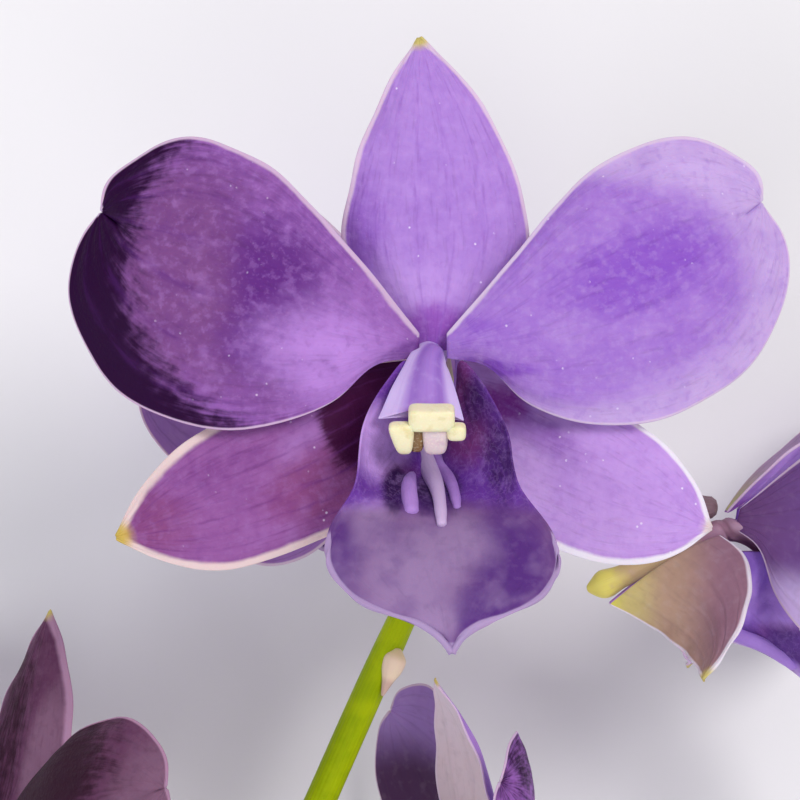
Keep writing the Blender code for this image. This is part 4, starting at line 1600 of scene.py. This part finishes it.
FRONT_PATCHES = {
    "dorsal_sepal": {
        Tone.LIGHT: [Patch(-1.0, 5.0, 5.0, 3.0, 0.6, blur=0.9), Patch(-1.5, 18.0, 3.4, 4.0, 0.2, blur=0.9)],
        Tone.DEEP: [Patch(0.3, 14.5, 4.0, 7.0, 0.2, blur=0.9), Patch(-6.6, 10.0, 2.0, 5.0, 0.8, blur=0.9)],
        Tone.FLUSH: [Patch(0.3, 1.2, 3.6, 2.6, 0.9)]},
    # The left petal's SHADE patches are its dark outer zone: partly its own dark colour, partly painted shade
    # where it curls back from the light. Its first FLUSH patch is the mauve band at that turn, partly painted
    # sheen off the ridge. Its last DEEP patch is painted shade below the claw.
    "petal_left": {
        Tone.FLUSH: [Patch(-23.2, 6.8, 5.4, 9.5, blur=0.7), Patch(-17.4, 14.0, 6.0, 3.0, 0.4, blur=0.8),
                     Patch(-17.0, -4.0, 7.0, 2.4, 0.45, -22.0, 0.8)],
        Tone.DEEP: [Patch(-16.2, 5.2, 7.2, 6.6, 0.95, -20.0, 0.75),
                    Patch(-15.4, -1.4, 4.0, 3.0, 0.6, blur=0.8), Patch(-3.2, -1.0, 3.0, 0.8, 1.0, 24.0)],
        Tone.LIGHT: [Patch(-9.6, -1.2, 6.6, 4.2, 0.8, -10.0, 0.95),
                     Patch(-7.6, 5.0, 4.0, 5.0, 0.15, blur=0.9)],
        Tone.SHADE: [Patch(-12.9, 6.8, 14.0, 14.4, 0.88, blur=0.2, beyond=True),
                     Patch(-12.0, 7.4, 17.4, 18.4, 0.9, blur=0.2, beyond=True)]},
    # The right petal's third DEEP patch is a painted shadow in its notch. Its LIGHT patch beyond the oval is
    # its pale outer band, partly painted light where it faces the light.
    "petal_right": {
        Tone.DEEP: [Patch(19.0, 7.0, 8.0, 3.6, 0.8, 22.0, 0.8), Patch(28.2, -0.8, 1.3, 5.4, 0.8, -38.0),
                    Patch(29.2, 12.2, 0.7, 1.6, 0.8, -20.0), Patch(5.2, -2.0, 3.8, 0.7, 1.0, -4.0),
                    Patch(4.4, 1.2, 2.4, 1.6, 0.5, blur=0.8)],
        Tone.LIGHT: [Patch(19.6, -2.4, 5.0, 1.6, 0.3, blur=0.8), Patch(12.5, 1.5, 3.0, 2.0, 0.25),
                     Patch(13.4, 4.8, 15.0, 10.2, 1.0, 6.0, 0.24, True)]},
    # The left lateral sepal's SHADE patches are painted shade by the lip and in the gap between the left petal
    # and the lip.
    "lateral_sepal_left": {
        Tone.DEEP: [Patch(-19.5, -11.6, 6.0, 2.2, 0.4, 25.0, 0.8)],
        Tone.FLUSH: [Patch(-9.4, -12.4, 6.2, 3.6, 0.85, 20.0), Patch(-25.6, -16.2, 4.0, 3.0, 0.8, blur=0.8)],
        Tone.LIGHT: [Patch(-12.0, -9.4, 1.9, 3.4, 0.7, -30.0, 0.8)],
        Tone.SHADE: [Patch(-8.0, -6.4, 2.4, 5.6, 0.95, 12.0, 0.35), Patch(-3.6, -2.8, 4.0, 3.4, 1.0, 20.0)]},
    "lateral_sepal_right": {
        Tone.DEEP: [Patch(8.6, -7.2, 5.0, 1.5, 0.8, -32.0, 0.8)],
        Tone.FLUSH: [Patch(6.4, -5.0, 2.4, 1.6, 0.9, -30.0)],
        Tone.LIGHT: [Patch(8.4, -12.6, 2.4, 4.6, 0.7, 12.0, 0.8),
                     Patch(15.0, -17.0, 7.0, 2.2, 0.5, blur=0.8)]},
}
PLAIN_PATCHES = {
    "dorsal_sepal": {Tone.FLUSH: [Patch(0.0, 0.8, 3.0, 2.4)],
                     Tone.DEEP: [Patch(0.6, 13.0, 2.6, 7.0, 0.6, blur=0.8)]},
    "petal_left": {Tone.DEEP: [Patch(-16.0, 5.0, 7.0, 5.0, 0.7, blur=0.8), Patch(-4.0, -0.4, 3.0, 1.2, 0.9)]},
    "petal_right": {Tone.DEEP: [Patch(16.0, 5.0, 7.0, 5.0, 0.7, blur=0.8), Patch(4.0, -0.4, 3.0, 1.2, 0.9)]},
    "lateral_sepal_left": {Tone.DEEP: [Patch(-8.0, -8.0, 5.0, 4.0, 0.6, blur=0.8)]},
    "lateral_sepal_right": {Tone.DEEP: [Patch(8.0, -8.0, 5.0, 4.0, 0.6, blur=0.8)]},
}
# The right bloom's LIGHT patch is painted light on its left petal's lower part.
RIGHT_PATCHES = PLAIN_PATCHES | {"petal_left": {Tone.LIGHT: [Patch(-14.0, -5.8, 12.0, 3.4, 1.0, -10.0)]}}
# The left bloom lies in shade: its dorsal sepal's LIGHT patch is painted light on the edge that catches the
# light, and the SHADE patches are painted shade.
LEFT_PATCHES = PLAIN_PATCHES | {
    "dorsal_sepal": {Tone.LIGHT: [Patch(5.0, 12.0, 2.6, 9.0)],
                     Tone.SHADE: [Patch(-2.0, 12.0, 3.6, 12.0, 0.7)]},
    "petal_right": {Tone.LIGHT: [Patch(30.0, 9.0, 5.0, 13.0, 0.9, blur=0.8)],
                    Tone.SHADE: [Patch(15.0, 10.0, 9.0, 9.0, blur=0.6)]},
}
# The lower bloom's right petal: its SHADE patch is a painted shadow over its lower half.
LOWER_PATCHES = PLAIN_PATCHES | {
    "petal_left": {Tone.SHADE: [Patch(-24.0, 15.0, 14.0, 6.0, 0.6, blur=0.8)]},
    "petal_right": {Tone.SHADE: [Patch(24.0, 1.0, 14.0, 8.0, 0.95, blur=0.5)]},
}
FRONT_RIMS = {
    "dorsal_sepal": Rim(((0.0, 0.2), (0.2, 0.52), (0.7, 0.55), (1.0, 0.4)),
                        ((0.0, 0.1), (0.3, 0.4), (1.0, 0.42))),
    "petal_left": Rim(((0.0, 0.02), (0.13, 0.02), (0.3, 0.28), (1.0, 0.2)),
                      ((0.0, 0.4), (0.1, 0.62), (0.55, 0.5), (0.8, 0.32), (1.0, 0.28))),
    "petal_right": Rim(((0.0, 0.36), (0.1, 0.5), (0.7, 0.42), (1.0, 0.36)),
                       ((0.0, 0.02), (0.1, 0.02), (0.22, 0.2), (0.4, 0.32), (0.7, 0.2), (1.0, 0.2))),
    "lateral_sepal_left": Rim(((0.0, 0.3), (0.35, 0.75), (0.8, 0.78), (1.0, 0.6)),
                              ((0.0, 0.02), (0.25, 0.1), (0.5, 0.9), (0.8, 0.95), (1.0, 0.6))),
    "lateral_sepal_right": Rim(((0.0, 0.02), (0.3, 0.1), (0.5, 0.42), (1.0, 0.46)),
                               ((0.0, 0.2), (0.35, 0.8), (0.7, 0.75), (1.0, 0.4))),
}
WIDE_RIM = Rim(((0.0, 0.15), (0.3, 0.4), (1.0, 0.4)), ((0.0, 0.15), (0.3, 0.45), (1.0, 0.4)))
LEFT_RIMS = {"dorsal_sepal": Rim(((0.0, 0.2), (0.3, 0.5), (1.0, 0.5)), ((0.0, 0.3), (0.3, 1.1), (1.0, 0.8)))}


@dataclass(frozen=True)
class Look:
    """The names of a bloom's finishes, and where its tones and pale margins lie."""

    petal_left: str = "petal_face"
    petal_right: str = "petal_face"
    petal_back: str = "petal_back"
    dorsal: str = "sepal_face"
    lateral_left: str = "sepal_face"
    lateral_right: str = "sepal_face"
    sepal_back: str = "sepal_back"
    dorsal_back: str = "sepal_back"
    lip: str = "lip_skin"
    column: str = "column_skin"
    pedicel: str = "pedicel_skin"
    patches: dict[str, Patches] = field(default_factory=lambda: PLAIN_PATCHES)
    rims: dict[str, Rim] = field(default_factory=dict)


@dataclass(frozen=True)
class Bloom:
    """One bloom: its place, its turn and what sets it apart from the front bloom."""

    name: str
    centre: Point
    turn: Point
    scale: float
    fineness: float
    node: float
    bends: tuple[Point, ...]
    openness: Openness = Openness.OPEN
    dorsal_lean: float = 0.0
    sepal_cup: float = 0.0
    petal_fold: float = 0.3
    lip_width: float = 1.0
    left_petal: tuple[float, float] = (0.0, 0.0)
    right_petal: tuple[float, float] = (0.0, 0.0)
    look: Look = field(default_factory=Look)

    def fine(self, count: int) -> int:
        """Return how many rows or columns this bloom gets for a count of the front bloom."""
        return max(LEAST_CELLS, round(count * self.fineness))

    def matrix(self) -> Matrix:
        """Return the bloom's matrix.

        Returns:
            What turns the bloom's millimetres into the world's metres.
        """
        turn = Matrix.Identity(4)
        for degrees, axis in zip(self.turn, "YXZ"):
            turn = turn @ Matrix.Rotation(math.radians(degrees), 4, axis)
        place = Vector(np.array(self.centre) + FRONT_PLACE) * MM
        return Matrix.Translation(place) @ turn @ Matrix.Scale(self.scale * MM, 4)

    def blades(self) -> list[Blade]:
        """Choose the bloom's sepals and petals.

        Returns:
            Three sepals and two petals.
        """
        look = self.look
        left, right = LATERAL_SEPAL_LEFT, LATERAL_SEPAL_RIGHT
        if self.openness is Openness.HALF_OPEN:
            left, right = HALF_OPEN_SEPAL, HALF_OPEN_SEPAL.mirrored()
        seed = 1.0 + 0.1 * len(self.name)
        lean = Bend(swing=self.dorsal_lean, cup=self.sepal_cup)
        sepals = (("dorsal_sepal", DORSAL_SEPAL, lean, look.dorsal, look.dorsal_back, 1.0),
                  ("lateral_sepal_left", left, Bend(), look.lateral_left, look.sepal_back, 1.5),
                  ("lateral_sepal_right", right, Bend(), look.lateral_right, look.sepal_back, 0.9))
        petals = (("petal_left", PETAL_LEFT, Bend(-1, *self.left_petal), look.petal_left),
                  ("petal_right", PETAL_RIGHT, Bend(1, *self.right_petal), look.petal_right))
        blades = [Blade(part, outline, bend, Relief(seed + number), look.rims.get(part, WIDE_RIM),
                        look.patches[part], face, back, "sepal", tip)
                  for number, (part, outline, bend, face, back, tip) in enumerate(sepals)]
        blades += [Blade(part, outline, bend, Relief(seed + number, groove=0.12, fold=self.petal_fold),
                         look.rims.get(part, Rim()), look.patches[part], face, look.petal_back, "petal",
                         rows=56, columns=46)
                   for number, (part, outline, bend, face) in enumerate(petals, len(sepals))]
        return blades

    def build(self, stalk: Stalk) -> None:
        """Build all of the bloom's pieces and its pedicel.

        Args:
            stalk: The stalk that it grows from.
        """
        for blade in self.blades():
            blade.build(self)
        Lip(self.lip_width).build(self)
        Column().build(self)
        AntherCap().build(self)
        Pedicel(self.bends).build(self, stalk)
        LOG.info("%s bloom finished", self.name)


BLOOMS = (
    Bloom("front", (0.0, 0.0, 52.0), (0.0, 0.0, 0.0), 1.0, 1.0, 0.992,
          ((0.0, 1.7, -8.0), (0.3, 0.2, -13.5), (1.6, -6.0, -20.5), (1.6, -13.0, -24.3)), petal_fold=0.8,
          look=Look("petal_face_shaded", "petal_face_lit", lateral_left="sepal_face_rosy",
                    lateral_right="sepal_face_bright", patches=FRONT_PATCHES, rims=FRONT_RIMS)),
    Bloom("right", (30.4, -16.8, 26.87), (88.0, 0.0, -2.0), 0.95, 0.7, 0.974,
          ((0.2, 1.3, -6.0), (0.8, 1.2, -11.0), (2.0, 0.6, -18.0), (3.4, -1.6, -24.0)),
          Openness.HALF_OPEN, dorsal_lean=48.0, lip_width=0.6, left_petal=(20.0, 36.0),
          right_petal=(17.0, 37.0),
          look=Look(sepal_back="sepal_back_olive", lip="lip_skin_bright", column="column_skin_olive",
                    pedicel="pedicel_skin_shaded", patches=RIGHT_PATCHES)),
    Bloom("left", (-44.8, -50.2, 26.13), (-50.0, -15.0, -4.0), 0.92, 0.7, 0.79,
          ((0.0, 1.8, -8.0), (3.0, 0.4, -13.5), (7.0, -5.0, -18.0)), dorsal_lean=-5.0, right_petal=(0.5, 4.8),
          look=Look("blade_face_in_shade", "blade_face_in_shade", dorsal="blade_face_in_shade", patches=LEFT_PATCHES,
                    rims=LEFT_RIMS)),
    Bloom("lower", (6.0, -51.9, 26.0), (115.0, 0.0, 12.0), 0.75, 0.6, 0.835,
          ((0.0, 2.0, -7.0), (-1.5, 1.0, -13.0), (-1.0, -3.0, -17.0)),
          Openness.HALF_OPEN, sepal_cup=-14.0, lip_width=0.9, left_petal=(-19.0, -24.0),
          right_petal=(-1.0, 0.0),
          look=Look("petal_face_shaded", "petal_face_shaded", "petal_back_bright",
                    sepal_back="sepal_back_pale", dorsal_back="sepal_back_pale", patches=LOWER_PATCHES)),
    Bloom("back", (-7.4, -3.6, 21.0), (-158.0, 0.0, -20.0), 0.7, 0.6, 0.96,
          ((0.4, 2.2, -7.5), (1.6, 2.7, -11.7), (4.0, -1.6, -18.0), (6.0, -9.8, -19.5), (7.4, -17.8, -16.8)),
          look=Look(petal_back="sepal_back_lilac", sepal_back="sepal_back_lilac")),
)

FINISHES = (
    BladeFinish("petal_face", body=dye(156, 112, 208), deep=dye(118, 66, 172), light=dye(184, 148, 224)),
    BladeFinish("petal_face_shaded", body=dye(150, 96, 176), deep=dye(98, 44, 128), light=dye(190, 140, 220),
                flush=dye(124, 74, 134), shade=dye(40, 2, 50), margin=dye(206, 176, 208)),
    # petal_face_lit is a paler copy of the face for the front right petal, which faces the light: painted
    # light. petal_face_shaded is the darker copy: painted shade.
    BladeFinish("petal_face_lit", body=dye(164, 120, 206), deep=dye(136, 82, 192), light=dye(196, 166, 222),
                margin=dye(214, 192, 222)),
    # blade_face_in_shade is a darker copy of the face for the left bloom, which lies in shade: painted shade.
    BladeFinish("blade_face_in_shade", body=dye(98, 56, 88), deep=dye(72, 34, 62), light=dye(128, 92, 118),
                shade=dye(48, 16, 38), flush=dye(90, 46, 78), margin=dye(174, 134, 164), sparkle=0.0),
    BladeFinish("sepal_face", body=dye(174, 132, 212), deep=dye(146, 96, 192), light=dye(196, 156, 228),
                flush=dye(150, 86, 186), margin=dye(216, 190, 218), vein_strength=0.3, sparkle=0.9),
    BladeFinish("sepal_face_rosy", body=dye(148, 90, 156), deep=dye(114, 54, 128), light=dye(168, 120, 188),
                flush=dye(136, 72, 126), shade=dye(66, 16, 58), margin=dye(226, 202, 202),
                tip=dye(206, 176, 78), veins=10, vein_strength=0.26),
    BladeFinish("sepal_face_bright", body=dye(192, 150, 224), deep=dye(156, 106, 194),
                light=dye(206, 168, 232), flush=dye(140, 60, 160), margin=dye(236, 228, 240),
                tip=dye(226, 204, 206), veins=9, vein_strength=0.16, sparkle=0.9),
    BackFinish("petal_back", ((0.0, dye(112, 74, 126)), (0.35, dye(122, 82, 150)), (0.8, dye(134, 96, 168)))),
    BackFinish("petal_back_bright",
               ((0.0, dye(150, 104, 190)), (0.4, dye(156, 112, 196)), (1.0, dye(166, 132, 200)))),
    BackFinish("sepal_back",
               ((0.0, dye(176, 168, 104)), (0.3, dye(164, 132, 172)), (1.0, dye(172, 140, 200)))),
    BackFinish("sepal_back_olive",
               ((-13.6, dye(210, 204, 84)), (-11.4, dye(196, 180, 116)), (-7.0, dye(184, 152, 130)),
                (-1.5, dye(152, 112, 130))), by="depth", margin=dye(230, 220, 230), veins=5),
    BackFinish("sepal_back_pale",
               ((0.0, dye(202, 186, 170)), (0.4, dye(210, 190, 200)), (1.0, dye(214, 198, 212))), veins=5),
    BackFinish("sepal_back_lilac", ((0.0, dye(150, 118, 150)), (0.4, dye(158, 116, 184)))),
    LipFinish("lip_skin"),
    LipFinish("lip_skin_bright", body=dye(150, 110, 204), lobe=dye(170, 132, 208), deep=dye(112, 66, 160),
              light=dye(198, 170, 226), shade=dye(84, 48, 122), violet=dye(180, 142, 222),
              rim=dye(206, 182, 226)),
    ColumnFinish(),
    ColumnFinish("column_skin_olive", body=dye(148, 108, 128), crease=dye(120, 84, 104),
                 wing=dye(186, 150, 172), sole=dye(186, 160, 118), foot_to=0.16, sole_to=0.5),
    # its maroon start, at the bloom's end, is partly painted shade for the shadowed gap at the column's base,
    # and partly the ovary's own colour.
    StreakFinish("pedicel_skin", body=dye(150, 150, 84), light=dye(176, 172, 110), start=dye(124, 60, 124),
                 end=dye(150, 164, 40), start_to=0.6, end_from=0.8, streaks=12),
    # pedicel_skin_shaded is a darker copy for the right bloom's pedicel, which lies in shade: painted shade.
    StreakFinish("pedicel_skin_shaded", body=dye(142, 132, 90), light=dye(168, 158, 110),
                 start=dye(124, 98, 108), end=dye(150, 164, 40), start_to=0.3, end_from=0.8, streaks=12),
    StreakFinish("stalk_skin", body=dye(152, 176, 0), light=dye(176, 196, 4), start=dye(206, 208, 150),
                 end=dye(172, 192, 10), start_to=0.006, end_from=0.97, streaks=22),
    StreakFinish("stalk_scar", body=dye(242, 216, 192), light=dye(244, 222, 190), start=dye(236, 212, 170),
                 end=dye(214, 182, 166), start_to=0.3, end_from=0.6, streaks=6),
    CapFinish("waxy_anther_cap"),
    CapFinish("rosy_beak", body=dye(222, 200, 204), shade=dye(188, 152, 180)),
    CapFinish("brown_hollow", body=dye(132, 98, 52), shade=dye(84, 50, 40)),
    FloorFinish(),
)


@dataclass(frozen=True)
class Lamp:
    """A soft round lamp that looks at a place."""

    name: str
    place: Point
    target: Point
    size: float
    watts: float
    tint: Colour = (1.0, 1.0, 1.0)

    def build(self) -> None:
        """Add the lamp."""
        aim = Vector(self.target) - Vector(self.place)
        bpy.ops.object.light_add(type="AREA", location=Vector(self.place) * MM,
                                 rotation=aim.to_track_quat("-Z", "Y").to_euler())
        lamp = bpy.context.object
        lamp.name = self.name
        lamp.data.shape = "DISK"
        lamp.data.size = self.size * MM
        lamp.data.energy = self.watts
        lamp.data.color = self.tint


@dataclass(frozen=True)
class Studio:
    """The floor, the lamps and the camera straight above the front bloom."""

    floor_side: float = 3000.0
    camera_place: Point = (4.25, 103.21, 327.0)
    view_width: float = 72.24
    view_distance: float = 275.0
    lamps: tuple[Lamp, ...] = (
        Lamp("key_lamp", (260.0, 330.0, 520.0), (0.0, 80.0, 30.0), 260.0, 1.75, (1.0, 0.98, 0.97)),
        Lamp("fill_lamp", (-420.0, -80.0, 420.0), (0.0, 60.0, 20.0), 420.0, 1.0, (0.94, 0.95, 1.0)),
        Lamp("rim_lamp", (60.0, -460.0, 420.0), (0.0, 40.0, 20.0), 360.0, 0.75))

    def build(self) -> None:
        """Lay the floor, hang the lamps and set the camera."""
        pick()
        bpy.ops.mesh.primitive_plane_add(size=self.floor_side * MM)
        bpy.context.scene.view_settings.view_transform = "Standard"
        floor = bpy.context.object
        floor.name = "floor"
        floor.data.materials.append(bpy.data.materials["pale_floor"])
        for lamp in self.lamps:
            lamp.build()
        bpy.ops.object.camera_add(location=Vector(self.camera_place) * MM, rotation=(0.0, 0.0, 0.0))
        camera = bpy.context.object
        camera.data.sensor_width = 36.0
        camera.data.lens = 36.0 * self.view_distance / self.view_width
        camera.data.clip_start = 0.01
        camera.data.clip_end = 20.0
        bpy.context.scene.camera = camera
        world = bpy.context.scene.world or bpy.data.worlds.new("studio")
        bpy.context.scene.world = world
        world.use_nodes = True
        sky = world.node_tree.nodes["Background"]
        sky.inputs["Color"].default_value = (0.9, 0.9, 0.94, 1.0)
        sky.inputs["Strength"].default_value = 0.56


def main() -> None:
    """Build the stem, its blooms and the studio."""
    logging.basicConfig(level=logging.INFO, format="%(message)s")
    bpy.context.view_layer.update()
    for finish in FINISHES:
        finish.make()
    stalk = Stalk()
    stalk.build()
    for bloom in BLOOMS:
        bloom.build(stalk)
    Studio().build()


if __name__ == "__main__":
    main()
